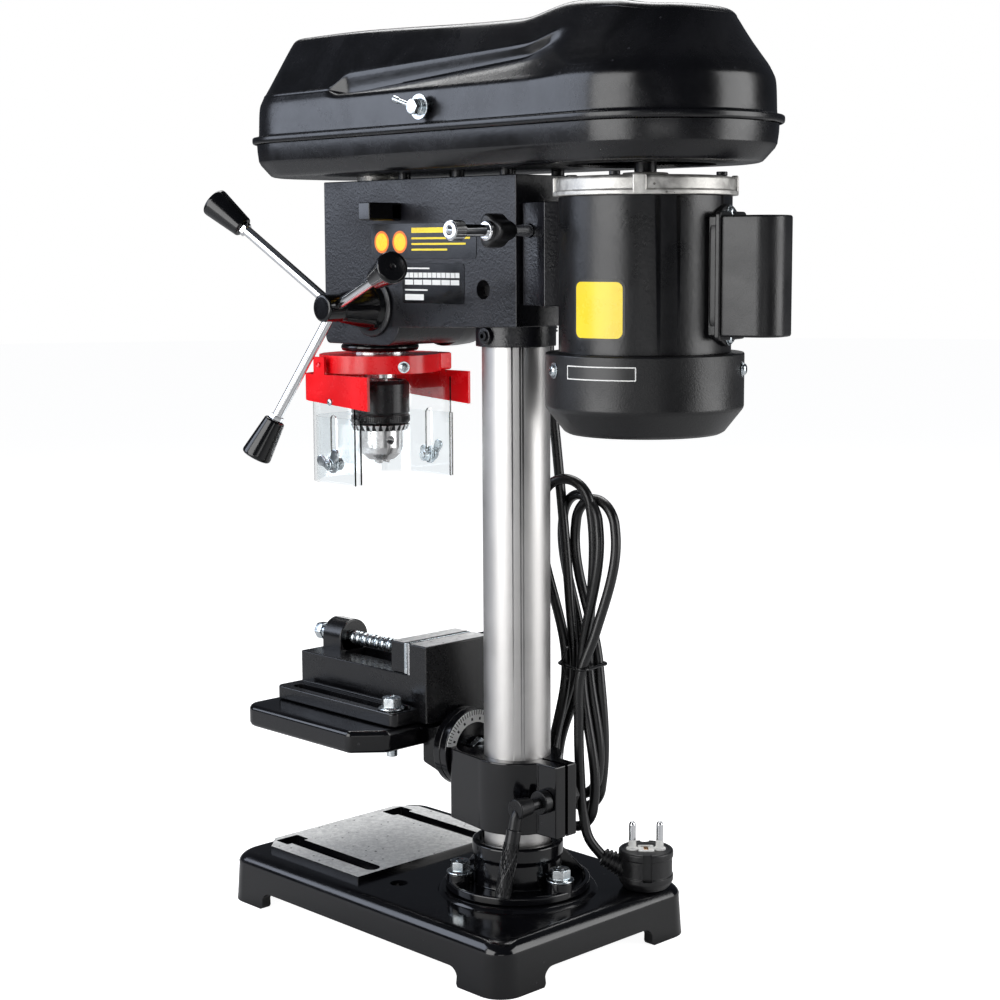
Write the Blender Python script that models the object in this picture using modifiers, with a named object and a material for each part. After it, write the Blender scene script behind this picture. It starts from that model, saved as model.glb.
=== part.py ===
"""Bench drill press: base, column, tilting table with vise, belt-driven head, chuck guard and motor.

All places are given in millimetres from the column's axis at floor level:
+X is the operator's right (feed handles), +Y is the rear (motor), +Z is up.
"""
import math

import bmesh
import bpy
from mathutils import Matrix, Vector

MM = 0.001
COLLECTION = "drill_press"
GAP = 0.35                      # running and resting gap between neighbouring pieces
COLUMN_X, COLUMN_Y = -10.8, 9.7   # where the column's axis stands in the part's own frame

# --- driving dimensions, millimetres -------------------------------------------------------
COLUMN_R = 23.0
COLUMN_TOP = 498.0

BASE_HALF_X = 94.0
BASE_FRONT, BASE_REAR = -212.0, 79.0
BASE_TOP = 36.0
BASE_CORNER_R = 18.0
PAD_TOP = 39.5
SOCKET_TOP = 72.0               # top of the column's socket on the base
FLANGE_R = 50.5
BOLT_CIRCLE_R = 41.0

BRACKET_LOW, BRACKET_HIGH = 82.0, 132.0
BRACKET_R = 31.0
TABLE_TOP = 146.0
TABLE_HALF_X = 82.0
TABLE_FRONT, TABLE_REAR = -204.0, -66.0
TILT_AXIS_Z = 127.0

VISE_HALF_X = 31.0
VISE_FLANGE_X = 55.0
VISE_FRONT, VISE_REAR = -199.0, -59.0
VISE_FLANGE_TOP = 156.5
VISE_RAIL_TOP = 179.0
VISE_TOP = 201.0
VISE_SCREW_Z = 188.0
VISE_BOLT_X, VISE_BOLT_Y = 45.0, -80.0

SPINDLE_Y = -140.0
HEAD_HALF_X = 32.0
HEAD_FRONT, HEAD_REAR = -162.0, 33.0
HEAD_LOW, HEAD_TOP = 426.0, 524.0
NOSE_LOW = 410.0
QUILL_R = 21.0
PINION_Y, PINION_Z = -110.0, 437.0

MOTOR_Y = 115.0
PAN_LOW, RIM_Z = 524.6, 551.0
LID_HALF_FRONT, LID_HALF_REAR = 68.4, 76.0
LID_FRONT, LID_REAR = -234.0, 202.0
HINGE_X = -78.6
LATCH_PLACE = (-15.0, 567.0)      # y, z

HANDLE_ANGLES = (15.0, 138.5, 248.5)
HANDLE_RAKE = 0.36              # outward travel for each unit along the rod's radius
HUB_X = 66.0


# --- modelling helpers -----------------------------------------------------------------------
def material(name, colour, roughness, metallic):
    found = bpy.data.materials.get(name)
    if found:
        return found
    made = bpy.data.materials.new(name)
    made.use_nodes = True
    shader = made.node_tree.nodes["Principled BSDF"]
    shader.inputs["Base Color"].default_value = (*colour, 1.0)
    shader.inputs["Roughness"].default_value = roughness
    shader.inputs["Metallic"].default_value = metallic
    made.diffuse_color = (*colour, 1.0)
    return made


FINISHES = {
    "black_enamel": ((0.012, 0.012, 0.014), 0.22, 0.0),
    "textured_black": ((0.02, 0.021, 0.025), 0.45, 0.0),
    "black_plastic": ((0.018, 0.018, 0.02), 0.5, 0.0),
    "ground_steel": ((0.62, 0.62, 0.63), 0.28, 1.0),
    "zinc": ((0.66, 0.69, 0.73), 0.3, 1.0),
    "chrome": ((0.78, 0.78, 0.8), 0.12, 1.0),
    "aluminium": ((0.68, 0.67, 0.65), 0.5, 1.0),
    "black_oxide": ((0.03, 0.03, 0.033), 0.38, 0.6),
    "red_plastic": ((0.72, 0.008, 0.012), 0.3, 0.0),
    "green_plastic": ((0.01, 0.3, 0.06), 0.35, 0.0),
    "clear_plastic": ((0.9, 0.93, 0.94), 0.05, 0.0),
    "belt_rubber": ((0.02, 0.02, 0.02), 0.8, 0.0),
    "cord_pvc": ((0.012, 0.012, 0.013), 0.4, 0.0),
}


def new_object(name, mesh):
    obj = bpy.data.objects.new(name, mesh)
    bpy.data.collections[COLLECTION].objects.link(obj)
    return obj


def evaluated_mesh(obj):
    """The object's shape with its modifiers, as a plain mesh with merged doubles."""
    graph = bpy.context.evaluated_depsgraph_get()
    mesh = bpy.data.meshes.new_from_object(obj.evaluated_get(graph), depsgraph=graph)
    work = bmesh.new()
    work.from_mesh(mesh)
    bmesh.ops.remove_doubles(work, verts=work.verts, dist=1e-6)
    work.to_mesh(mesh)
    work.free()
    return mesh


def settle(obj):
    """Turn modifiers, or a curve, into a plain mesh in world millimetre places."""
    mesh = evaluated_mesh(obj)
    mesh.transform(obj.matrix_world)
    name = obj.name
    bpy.data.objects.remove(obj, do_unlink=True)
    made = new_object(name, mesh)
    made.name = name
    return made


def combine(obj, other, operation):
    """One exact Boolean of two pieces; the second piece is used up."""
    step = obj.modifiers.new(operation.lower(), "BOOLEAN")
    step.operation = operation
    step.object = other
    step.solver = "EXACT"
    other.hide_render = True
    other.display_type = "WIRE"
    bpy.context.view_layer.update()
    name = obj.name
    obj = settle(obj)
    obj.name = name
    bpy.data.objects.remove(other, do_unlink=True)
    return obj


def cut(obj, *cutters):
    for cutter in cutters:
        obj = combine(obj, cutter, "DIFFERENCE")
    return obj


def join(obj, *others):
    for other in others:
        obj = combine(obj, other, "UNION")
    return obj


def bevel(obj, width, segments=2, angle=40.0):
    step = obj.modifiers.new("rounded edges", "BEVEL")
    step.width = width * MM
    step.segments = segments
    step.limit_method = "ANGLE"
    step.angle_limit = math.radians(angle)
    bpy.context.view_layer.update()
    return settle(obj)


def box(name, low, high, edge=0.0, segments=2):
    """A block between two corners, with rounded edges where edge is given."""
    work = bmesh.new()
    size = [high[i] - low[i] for i in range(3)]
    centre = [(high[i] + low[i]) / 2 for i in range(3)]
    place = Matrix.Translation(Vector(centre) * MM) @ Matrix.Diagonal((*[s * MM for s in size], 1.0))
    bmesh.ops.create_cube(work, size=1.0, matrix=place)
    mesh = bpy.data.meshes.new(name)
    work.to_mesh(mesh)
    work.free()
    obj = new_object(name, mesh)
    return bevel(obj, edge, segments) if edge else obj


def towards(direction):
    """Rotation that turns +Z to the given direction."""
    return Vector(direction).normalized().to_track_quat("Z", "Y").to_matrix().to_4x4()


def rod(name, start, end, radius, end_radius=None, sides=16, edge=0.0):
    """A cylinder, or a cone where end_radius differs, from start to end."""
    start, end = Vector(start) * MM, Vector(end) * MM
    axis = end - start
    work = bmesh.new()
    place = Matrix.Translation((start + end) / 2) @ towards(axis)
    far = radius if end_radius is None else end_radius
    bmesh.ops.create_cone(work, cap_ends=True, segments=sides, radius1=radius * MM,
                          radius2=far * MM, depth=axis.length, matrix=place)
    mesh = bpy.data.meshes.new(name)
    work.to_mesh(mesh)
    work.free()
    obj = new_object(name, mesh)
    return bevel(obj, edge, 2) if edge else obj


def turned(name, profile, base=(0, 0, 0), axis=(0, 0, 1), steps=24):
    """A closed profile of (radius, height) pairs, given top to bottom on its outer side, turned once."""
    mesh = bpy.data.meshes.new(name)
    points = [(r * MM, 0.0, h * MM) for r, h in profile]
    edges = [(i, i + 1) for i in range(len(points) - 1)]
    if profile[0][0] > 0:
        edges.append((len(points) - 1, 0))
    mesh.from_pydata(points, edges, [])
    obj = new_object(name, mesh)
    step = obj.modifiers.new("turn", "SCREW")
    step.axis = "Z"
    step.steps = steps
    step.render_steps = steps
    step.use_merge_vertices = True
    step.merge_threshold = 0.00001
    obj.matrix_world = Matrix.Translation(Vector(base) * MM) @ towards(axis)
    bpy.context.view_layer.update()
    return settle(obj)


def arc(centre_x, centre_y, radius, start, end, steps):
    """Points along an arc, angles in degrees."""
    turn = [math.radians(start + (end - start) * i / steps) for i in range(steps + 1)]
    return [(centre_x + radius * math.cos(a), centre_y + radius * math.sin(a)) for a in turn]


def rounded_outline(x_low, x_high, y_low, y_high, radii, steps=4):
    """Rectangle with its own corner radius at rear right, rear left, front left, front right."""
    rr, rl, fl, fr = radii
    return (arc(x_high - rr, y_high - rr, rr, 0, 90, steps)
            + arc(x_low + rl, y_high - rl, rl, 90, 180, steps)
            + arc(x_low + fl, y_low + fl, fl, 180, 270, steps)
            + arc(x_high - fr, y_low + fr, fr, 270, 360, steps))


def slab(name, outline, low, high, plane="XY"):
    """A flat outline given thickness: XY is extruded along Z, YZ along X, XZ along Y."""
    curve = bpy.data.curves.new(name, "CURVE")
    curve.dimensions = "2D"
    curve.fill_mode = "BOTH"
    curve.extrude = (high - low) / 2 * MM
    line = curve.splines.new("POLY")
    line.points.add(len(outline) - 1)
    for point, (u, v) in zip(line.points, outline):
        point.co = (u * MM, v * MM, 0.0, 1.0)
    line.use_cyclic_u = True
    obj = bpy.data.objects.new(name, curve)
    bpy.data.collections[COLLECTION].objects.link(obj)
    middle = (high + low) / 2 * MM
    turn = {"XY": Matrix.Identity(4),
            "YZ": Matrix(((0, 0, 1, 0), (1, 0, 0, 0), (0, 1, 0, 0), (0, 0, 0, 1))),
            "XZ": Matrix(((1, 0, 0, 0), (0, 0, -1, 0), (0, 1, 0, 0), (0, 0, 0, 1)))}[plane]
    shift = {"XY": (0, 0, middle), "YZ": (middle, 0, 0), "XZ": (0, middle, 0)}[plane]
    obj.matrix_world = Matrix.Translation(shift) @ turn
    bpy.context.view_layer.update()
    return settle(obj)


def loft(name, rings, cap_first=True, cap_last=True):
    """Skin through rings of equal point count; each ring is a list of (x, y, z)."""
    work = bmesh.new()
    rows = [[work.verts.new(Vector(p) * MM) for p in ring] for ring in rings]
    count = len(rows[0])
    for lower, upper in zip(rows, rows[1:]):
        for i in range(count):
            j = (i + 1) % count
            work.faces.new((lower[i], lower[j], upper[j], upper[i]))
    if cap_first:
        work.faces.new(list(reversed(rows[0])))
    if cap_last:
        work.faces.new(rows[-1])
    mesh = bpy.data.meshes.new(name)
    work.to_mesh(mesh)
    work.free()
    return new_object(name, mesh)


def shell(obj, thickness):
    """Wall grown inwards from an open skin whose faces point outwards."""
    step = obj.modifiers.new("wall", "SOLIDIFY")
    step.thickness = thickness * MM
    step.offset = -1.0
    step.use_even_offset = True
    bpy.context.view_layer.update()
    return settle(obj)


def hexagon(name, centre, across, length, axis):
    start = Vector(centre)
    end = start + Vector(axis).normalized() * length
    return rod(name, start, end, across / math.sqrt(3), sides=6)


def flange_bolt(name, seat, shank, shank_length):
    """Hex bolt with a flange; the seat is the underside of its flange, the shank runs down."""
    x, y, z = seat
    head = hexagon(name, (x, y, z + 1.5), 11.0, 5.5, (0, 0, 1))
    washer = rod(name + "_washer", (x, y, z), (x, y, z + 1.8), 8.6, sides=14)
    body = rod(name + "_shank", (x, y, z - shank_length), (x, y, z + 2.5), shank, sides=10)
    return join(head, washer, body)


def finish(obj, name, finish_name, origin=(0, 0, 0), smooth=35.0):
    """Name, material, shading and origin of a finished piece, and its place in the part's frame."""
    mesh = obj.data
    mesh.materials.clear()
    mesh.materials.append(material(finish_name, *FINISHES[finish_name]))
    mesh.shade_smooth()
    mesh.set_sharp_from_angle(angle=math.radians(smooth))
    point = Vector(origin) * MM
    mesh.transform(Matrix.Translation(-point))
    obj.location = point + Vector((COLUMN_X, COLUMN_Y, 0)) * MM
    obj.name = name
    mesh.name = name
    return obj


# --- stand: base, socket, column -------------------------------------------------------------
def base_outline(inset, z, corner):
    flat = rounded_outline(-BASE_HALF_X + inset, BASE_HALF_X - inset, BASE_FRONT + inset,
                           BASE_REAR - inset, [corner] * 4, 5)
    return [(x, y, z) for x, y in flat]


def make_base():
    edge = 8.0
    rings = [base_outline(0, 0, BASE_CORNER_R), base_outline(2.0, BASE_TOP - edge, BASE_CORNER_R - 2)]
    for i in range(1, 4):
        angle = math.radians(90 * i / 3)
        rings.append(base_outline(2.0 + edge * (1 - math.cos(angle)),
                                  BASE_TOP - edge + edge * math.sin(angle), BASE_CORNER_R - 4))
    casting = loft("base", rings)
    wall = 6.0
    hollow = slab("hollow", rounded_outline(-BASE_HALF_X + wall + 2, BASE_HALF_X - wall - 2,
                                            BASE_FRONT + wall + 2, BASE_REAR - wall - 2, [10] * 4, 3),
                  -5, BASE_TOP - 8)
    foot = 40.0
    arch = 12.5
    side_arch = rounded_outline(BASE_FRONT + foot, BASE_REAR - foot, -20, arch, [11, 11, 1, 1], 4)
    end_arch = rounded_outline(-BASE_HALF_X + foot, BASE_HALF_X - foot, -20, arch, [11, 11, 1, 1], 4)
    casting = cut(casting, hollow, slab("side_arch", side_arch, -120, 120, "YZ"),
                  slab("end_arch", end_arch, -260, 130, "XZ"))
    pad = [(-73, -86), (-73, -186), (-58, -200), (58, -200), (73, -186), (73, -86)]
    casting = join(casting, slab("pad", list(reversed(pad)), BASE_TOP - 2, PAD_TOP),
                   rod("boss", (0, 0, BASE_TOP - 6), (0, 0, BASE_TOP + 2.5), 55, 54, sides=28))
    for side in (-1, 1):
        low, high = sorted((side * 46, side * 58))
        slot = rounded_outline(low, high, -184, -90, [5.9, 5.9, 0.5, 0.5], 3)
        wide = sorted((side * 42, side * 62))
        head = rounded_outline(wide[0], wide[1], -194, -180, [1] * 4, 1)
        casting = cut(casting, slab("slot", slot, 20, 60), slab("slot_head", head, 20, 60),
                      rod("hole", (side * 54, -64, 20), (side * 54, -64, 60), 6, sides=14))
    return finish(casting, "base_casting", "black_enamel")


def bolt_places():
    return [(BOLT_CIRCLE_R * math.cos(math.radians(a)), BOLT_CIRCLE_R * math.sin(math.radians(a)))
            for a in (-30, 90, 210)]


def make_socket():
    seat = BASE_TOP + 2.5 + GAP
    rim = [(FLANGE_R, seat + 6), (FLANGE_R, seat), (COLUMN_R + GAP, seat),
           (COLUMN_R + GAP, SOCKET_TOP - 5), (26.3, SOCKET_TOP - 5), (26.3, SOCKET_TOP),
           (30, SOCKET_TOP), (30.5, seat + 4), (46, seat + 4), (47, seat + 6)]
    flange = turned("socket", rim, steps=28)
    for angle in (30, 150, 270):
        rib = [(27.3, seat + 1.7), (48.6, seat + 1.7), (48.6, seat + 5),
               (31, SOCKET_TOP - 8.4), (27.3, SOCKET_TOP - 8.4)]
        gusset = slab("gusset", rib, -2.5, 2.5, "XZ")
        gusset.data.transform(Matrix.Rotation(math.radians(angle), 4, "Z"))
        flange = join(flange, gusset)
    for x, y in bolt_places():
        flange = join(flange, rod("bolt_boss", (x, y, seat + 1), (x, y, 50), 8.7, sides=14))
    for x, y in bolt_places():
        flange = cut(flange, rod("bolt_hole", (x, y, 20), (x, y, 70), 4.4, sides=10))
    return finish(flange, "column_socket", "black_enamel")


def make_socket_bolts():
    for i, (x, y) in enumerate(bolt_places(), 1):
        bolt = flange_bolt("bolt", (x, y, 50 + GAP), 4.0, 11.0)
        finish(bolt, f"socket_bolt_{i}", "zinc", (x, y, 50))


def make_column():
    seat = BASE_TOP + 2.5 + GAP
    bore = COLUMN_R - 2.5
    tube = turned("column", [(COLUMN_R, COLUMN_TOP), (COLUMN_R, seat), (bore, seat), (bore, COLUMN_TOP)],
                  steps=32)
    return finish(tube, "column_tube", "ground_steel")


# --- table bracket, table, vise --------------------------------------------------------------
def make_bracket():
    low, high = BRACKET_LOW, BRACKET_HIGH
    body = rod("bracket", (0, 0, low), (0, 0, high), BRACKET_R, sides=28)
    block = box("block", (-25, -44, low), (25, 0, high - 3), 2.0)
    disc = rod("disc", (0, -49, TILT_AXIS_Z), (0, -43, TILT_AXIS_Z), 28, sides=24)
    ears = box("ears", (-10, 20, low), (10, 47, high), 1.0)
    body = join(body, block, disc, ears)
    bore = rod("bore", (0, 0, 0), (0, 0, 300), COLUMN_R + 0.3, sides=36)
    slit = box("slit", (-1.4, 10, low - 20), (1.4, 80, high + 20))
    clamp_hole = rod("clamp_hole", (-30, 37, 107), (30, 37, 107), 4.4, sides=10)
    pivot_hole = rod("pivot_hole", (0, -70, TILT_AXIS_Z), (0, -30, TILT_AXIS_Z), 5.4, sides=10)
    pocket = box("pocket", (-15, -41, low - 10), (15, -30, high + 20))
    body = cut(body, bore, slit, clamp_hole, pivot_hole, pocket)
    return finish(body, "table_bracket", "black_enamel")


def make_clamp_handle():
    """Clamp screw along X with its knurled bar hanging from the outer end."""
    screw = rod("screw", (-16, 37, 107), (38, 37, 107), 4.0, sides=10)
    collar = rod("collar", (10 + GAP, 37, 107), (16, 37, 107), 8.0, sides=14)
    nut = hexagon("nut", (-16.5, 37, 107), 12.0, 6.1, (1, 0, 0))
    eye = rod("eye", (31, 37, 107), (40, 37, 107), 7.0, sides=14)
    neck = rod("neck", (35.5, 37, 110), (39.5, 36.8, 94), 4.2, 3.6, sides=12)
    grip = rod("grip", (39.2, 36.8, 95), (50.5, 36.3, 49), 5.4, 5.8, sides=16)
    handle = join(screw, collar, nut, eye, neck, grip)
    return finish(handle, "table_clamp_handle", "black_oxide", (36, 37, 107))


def make_table():
    """Plate with a rim below, carried by a neck that ends in the tilt disc."""
    plate = [(TABLE_HALF_X, -82), (60, TABLE_REAR), (-60, TABLE_REAR), (-TABLE_HALF_X, -82)]
    front = (arc(-TABLE_HALF_X + 12, TABLE_FRONT + 12, 12, 180, 270, 3)
             + arc(TABLE_HALF_X - 12, TABLE_FRONT + 12, 12, 270, 360, 3))
    top = slab("table", plate + front, 130, TABLE_TOP)
    top = bevel(top, 2.5, 2)
    inner = [(x * 0.93, -135 + (y + 135) * 0.93) for x, y in plate + front]
    top = cut(top, slab("under", inner, 100, TABLE_TOP - 6))
    neck = slab("neck", [(-24, -70), (24, -70), (20, -55), (-20, -55)], 116, 143)
    disc = rod("disc", (0, -56, TILT_AXIS_Z), (0, -49 - GAP, TILT_AXIS_Z), 28, sides=24)
    web = box("web", (-4, -150, 124), (4, -60, 143))
    top = join(top, neck, disc, web)
    for side in (-1, 1):
        slot = rounded_outline(side * VISE_BOLT_X - 5, side * VISE_BOLT_X + 5, -196, -73, [4.9] * 4, 3)
        top = cut(top, slab("slot", slot, 100, 180))
    middle = rod("hole", (0, SPINDLE_Y, 110), (0, SPINDLE_Y, 180), 9, sides=16)
    bolt_hole = rod("bolt_hole", (0, -80, TILT_AXIS_Z), (0, -40, TILT_AXIS_Z), 5.4, sides=10)
    top = cut(top, middle, bolt_hole)
    return finish(top, "table_top", "black_enamel", (0, -49, TILT_AXIS_Z))


def make_tilt_bolt():
    shank = rod("shank", (0, -37, TILT_AXIS_Z), (0, -62, TILT_AXIS_Z), 5.0, sides=10)
    head = hexagon("head", (0, -41 + GAP, TILT_AXIS_Z), 15.0, 5.0, (0, 1, 0))
    return finish(join(shank, head), "tilt_bolt", "zinc", (0, -49, TILT_AXIS_Z))


def make_vise():
    low = TABLE_TOP + GAP
    foot = slab("vise", rounded_outline(-VISE_FLANGE_X, VISE_FLANGE_X, VISE_FRONT, VISE_REAR - 8,
                                        [3, 3, 6, 6], 2), low, VISE_FLANGE_TOP)
    body = box("body", (-VISE_HALF_X, VISE_FRONT, low), (VISE_HALF_X, VISE_REAR, VISE_RAIL_TOP), 1.0)
    fixed = box("fixed", (-VISE_HALF_X, -77, low + 4), (VISE_HALF_X, VISE_REAR, VISE_TOP), 1.0)
    lug = slab("lug", arc(0, VISE_SCREW_Z, 13.5, 0, 180, 8) + [(-13.5, 170), (13.5, 170)],
               VISE_FRONT + 4, VISE_FRONT + 25, "XZ")
    ear = box("ear", (-VISE_HALF_X - 10, -76, 184), (-VISE_HALF_X + 5, -62, VISE_TOP - 1), 1.0)
    body = join(body, foot, fixed, lug, ear)
    channel = box("channel", (-10, -173, 160), (10, -77.5, 220))
    screw_hole = rod("screw_hole", (0, -230, VISE_SCREW_Z), (0, -150, VISE_SCREW_Z), 5.6, sides=14)
    ear_hole = rod("ear_hole", (-VISE_HALF_X - 5.5, -69, 150), (-VISE_HALF_X - 5.5, -69, 230), 2.6,
                   sides=12)
    under = box("under", (-20, -190, 120), (20, -66, 154))
    body = cut(body, channel, screw_hole, ear_hole, under)
    for side in (-1, 1):
        slot = rounded_outline(side * VISE_BOLT_X - 4.8, side * VISE_BOLT_X + 4.8, -188, -73, [4.7] * 4, 3)
        body = cut(body, slab("slot", slot, 120, 200))
    return finish(body, "vise_body", "textured_black")


def make_vise_jaw():
    """Moving jaw with its tongue in the body's channel, and a blind seat for the screw."""
    head = box("jaw", (-VISE_HALF_X, -98, VISE_RAIL_TOP + GAP), (VISE_HALF_X, -79.5, VISE_TOP), 0.8)
    tongue = box("tongue", (-9.6, -98, 160.5), (9.6, -80, VISE_RAIL_TOP + 2))
    jaw = join(head, tongue)
    jaw = cut(jaw, rod("seat", (0, -110, VISE_SCREW_Z), (0, -90, VISE_SCREW_Z), 4.0, sides=14))
    return finish(jaw, "vise_moving_jaw", "textured_black")


def make_vise_screw():
    thread = rod("thread", (0, -199, VISE_SCREW_Z), (0, -98.4, VISE_SCREW_Z), 5.0, sides=14)
    nose = rod("nose", (0, -99, VISE_SCREW_Z), (0, -91, VISE_SCREW_Z), 3.6, sides=14)
    tip = rod("tip", (0, -214, VISE_SCREW_Z), (0, -198.5, VISE_SCREW_Z), 4.2, sides=14)
    screw = join(thread, nose, tip)
    cross = rod("cross", (-10, -208, VISE_SCREW_Z), (10, -208, VISE_SCREW_Z), 1.8, sides=12)
    return finish(cut(screw, cross), "vise_screw", "zinc", (0, -150, VISE_SCREW_Z))


def make_vise_bolts():
    for i, side in enumerate((1, -1), 1):
        place = (side * VISE_BOLT_X, VISE_BOLT_Y, VISE_FLANGE_TOP + GAP)
        bolt = flange_bolt("bolt", place, 4.0, 34.0)
        washer = rod("washer", (place[0], place[1], 139.5), (place[0], place[1], 136), 8.0, sides=14)
        finish(join(bolt, washer), f"vise_bolt_{i}", "zinc", place)


# --- head: casting, quill, spindle, pulleys --------------------------------------------------
def make_head():
    profile = [(HEAD_REAR, HEAD_LOW), (HEAD_REAR, HEAD_TOP), (HEAD_FRONT, HEAD_TOP),
               (HEAD_FRONT, NOSE_LOW + 4), (HEAD_FRONT + 4, NOSE_LOW), (-96, NOSE_LOW),
               (-88, NOSE_LOW + 4), (-84, NOSE_LOW + 9), (-81, HEAD_LOW)]
    casting = slab("head", list(reversed(profile)), -HEAD_HALF_X, HEAD_HALF_X, "YZ")
    collar = rod("collar", (0, 0, 412), (0, 0, HEAD_LOW + 4), 27, sides=28)
    boss = rod("boss", (HEAD_HALF_X - 4, PINION_Y, PINION_Z), (HEAD_HALF_X + 3, PINION_Y, PINION_Z), 21)
    casting = join(casting, collar, boss)
    quill_bore = rod("quill_bore", (0, SPINDLE_Y, 390), (0, SPINDLE_Y, 508), QUILL_R + 0.4, sides=28)
    top_bore = rod("top_bore", (0, SPINDLE_Y, 500), (0, SPINDLE_Y, 540), 15.4, sides=24)
    column_bore = rod("column_bore", (0, 0, 400), (0, 0, COLUMN_TOP + 1), COLUMN_R + GAP, sides=36)
    pinion_bore = rod("pinion_bore", (-60, PINION_Y, PINION_Z), (60, PINION_Y, PINION_Z), 10.4)
    pocket = box("pocket", (-26, -92, 436), (26, -29, 540), 2.0)
    side_hole = rod("side_hole", (20, 2, 450), (50, 2, 450), 6, sides=14)
    casting = cut(casting, quill_bore, top_bore, column_bore, pinion_bore, pocket, side_hole)
    return finish(casting, "head_casting", "textured_black")


def make_quill():
    """Quill with its stop flange below the head and rack grooves facing the pinion."""
    top, low = 503.0, 388.5
    bore = 8.5
    quill = turned("quill", [(QUILL_R, top), (QUILL_R, 409), (27, 409), (27, 404.6), (QUILL_R, 404.6),
                             (QUILL_R, low), (bore, low), (bore, top)], (0, SPINDLE_Y, 0), steps=28)
    flat = box("flat", (-12, SPINDLE_Y + 20.2, 411), (12, SPINDLE_Y + 30, top + 5))
    quill = cut(quill, flat)
    for i in range(13):
        height = 414 + 6.0 * i
        groove = box("groove", (-7, SPINDLE_Y + 18.4, height), (7, SPINDLE_Y + 25, height + 3.0))
        quill = cut(quill, groove)
    return finish(quill, "quill", "ground_steel", (0, SPINDLE_Y, 388.5))


def make_spindle():
    spindle = turned("spindle", [(0, 600), (8, 600), (8, 388), (11.5, 387.6), (11.5, 384.2), (7.6, 384.2),
                                 (6.2, 362), (0, 362)], (0, SPINDLE_Y, 0), steps=20)
    return finish(spindle, "spindle", "ground_steel", (0, SPINDLE_Y, 388))


STEP_HEIGHT = 11.0
STEP_RADII = (24, 30, 36, 42, 48)
PULLEY_LOW = 534.0


def pulley_profile(radii, bore):
    """Stepped V pulley: each step is a rim, a groove and a rim, listed from the top down."""
    profile = []
    for i in range(len(radii) - 1, -1, -1):
        low = PULLEY_LOW + i * STEP_HEIGHT
        r = radii[i]
        profile += [(r, low + STEP_HEIGHT - 0.8), (r - 5.6, low + 8.4), (r - 5.6, low + 2.6), (r, low + 0.8)]
    return profile + [(bore, PULLEY_LOW + 0.8), (bore, PULLEY_LOW + len(radii) * STEP_HEIGHT - 0.8)]


def make_pulleys():
    spindle_steps = STEP_RADII
    motor_steps = tuple(reversed(STEP_RADII))
    spindle_pulley = turned("pulley", pulley_profile(spindle_steps, 8.4), (0, SPINDLE_Y, 0), steps=24)
    hub = turned("hub", [(14.8, PULLEY_LOW + 2), (14.8, 510), (8.4, 510), (8.4, PULLEY_LOW + 2)],
                 (0, SPINDLE_Y, 0), steps=24)
    spindle_pulley = join(spindle_pulley, hub)
    finish(spindle_pulley, "spindle_pulley", "aluminium", (0, SPINDLE_Y, PULLEY_LOW))
    motor_pulley = turned("pulley", pulley_profile(motor_steps, 7.4), (0, MOTOR_Y, 0), steps=24)
    finish(motor_pulley, "motor_pulley", "aluminium", (0, MOTOR_Y, PULLEY_LOW))


def make_belt():
    inner_r, outer_r = STEP_RADII[2] - 4.6, STEP_RADII[2] + 0.8
    middle = PULLEY_LOW + 2.5 * STEP_HEIGHT

    def loop(radius):
        return arc(0, MOTOR_Y, radius, 0, 180, 16) + arc(0, SPINDLE_Y, radius, 180, 360, 16)
    belt = slab("belt", loop(outer_r), middle - 2.4, middle + 2.4)
    belt = cut(belt, slab("inside", loop(inner_r), middle - 10, middle + 10))
    return finish(belt, "drive_belt", "belt_rubber")


# --- pulley case -----------------------------------------------------------------------------
def case_outline(inset, z, steps=6):
    """Plan of the pulley case: narrower at the front, with large rear corners."""
    front, rear = LID_HALF_FRONT - inset, LID_HALF_REAR - inset
    front_r = max(56.0 - inset, 8.0)
    rear_r = max(74.0 - inset, 8.0)
    low, high = LID_FRONT + inset, LID_REAR - inset
    right = (arc(front - front_r, low + front_r, front_r, 270, 357, steps)
             + arc(rear - rear_r, high - rear_r, rear_r, 3, 90, steps))
    left = [(-x, y) for x, y in reversed(right)]
    return [(x, y, z) for x, y in right + left]


def make_pan():
    rings = [case_outline(13, PAN_LOW), case_outline(4.5, PAN_LOW + 11), case_outline(3.5, RIM_Z)]
    pan = shell(loft("pan", rings, cap_first=True, cap_last=False), 1.8)
    knuckle = rod("knuckle", (HINGE_X, -20, RIM_Z - 0.4), (HINGE_X, 20, RIM_Z - 0.4), 4.0, sides=10)
    leaf = box("leaf", (HINGE_X, -20, RIM_Z - 4.3), (-68.4, 20, RIM_Z - 2.4))
    pan = join(pan, leaf, knuckle)
    motor_hole = slab("motor_hole", arc(0, MOTOR_Y, 44, 0, 180, 12) + arc(0, MOTOR_Y - 8, 44, 180, 360, 12),
                      500, 535)
    hub_hole = rod("hub_hole", (0, SPINDLE_Y, 500), (0, SPINDLE_Y, 533), 15.6, sides=20)
    pin_hole = rod("pin_hole", (HINGE_X, -60, RIM_Z - 0.4), (HINGE_X, 60, RIM_Z - 0.4), 2.2, sides=12)
    return finish(cut(pan, motor_hole, hub_hole, pin_hole), "pulley_pan", "black_enamel")


def lid_height(y):
    """Height of the lid's flat top: low over the spindle, raised over the motor."""
    rise = min(max((y - 20.0) / 60.0, 0.0), 1.0)
    smooth = rise * rise * (3 - 2 * rise)
    return 620.0 + 11.0 * smooth - 6.0 * max((-60.0 - y) / 130.0, 0.0)


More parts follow.
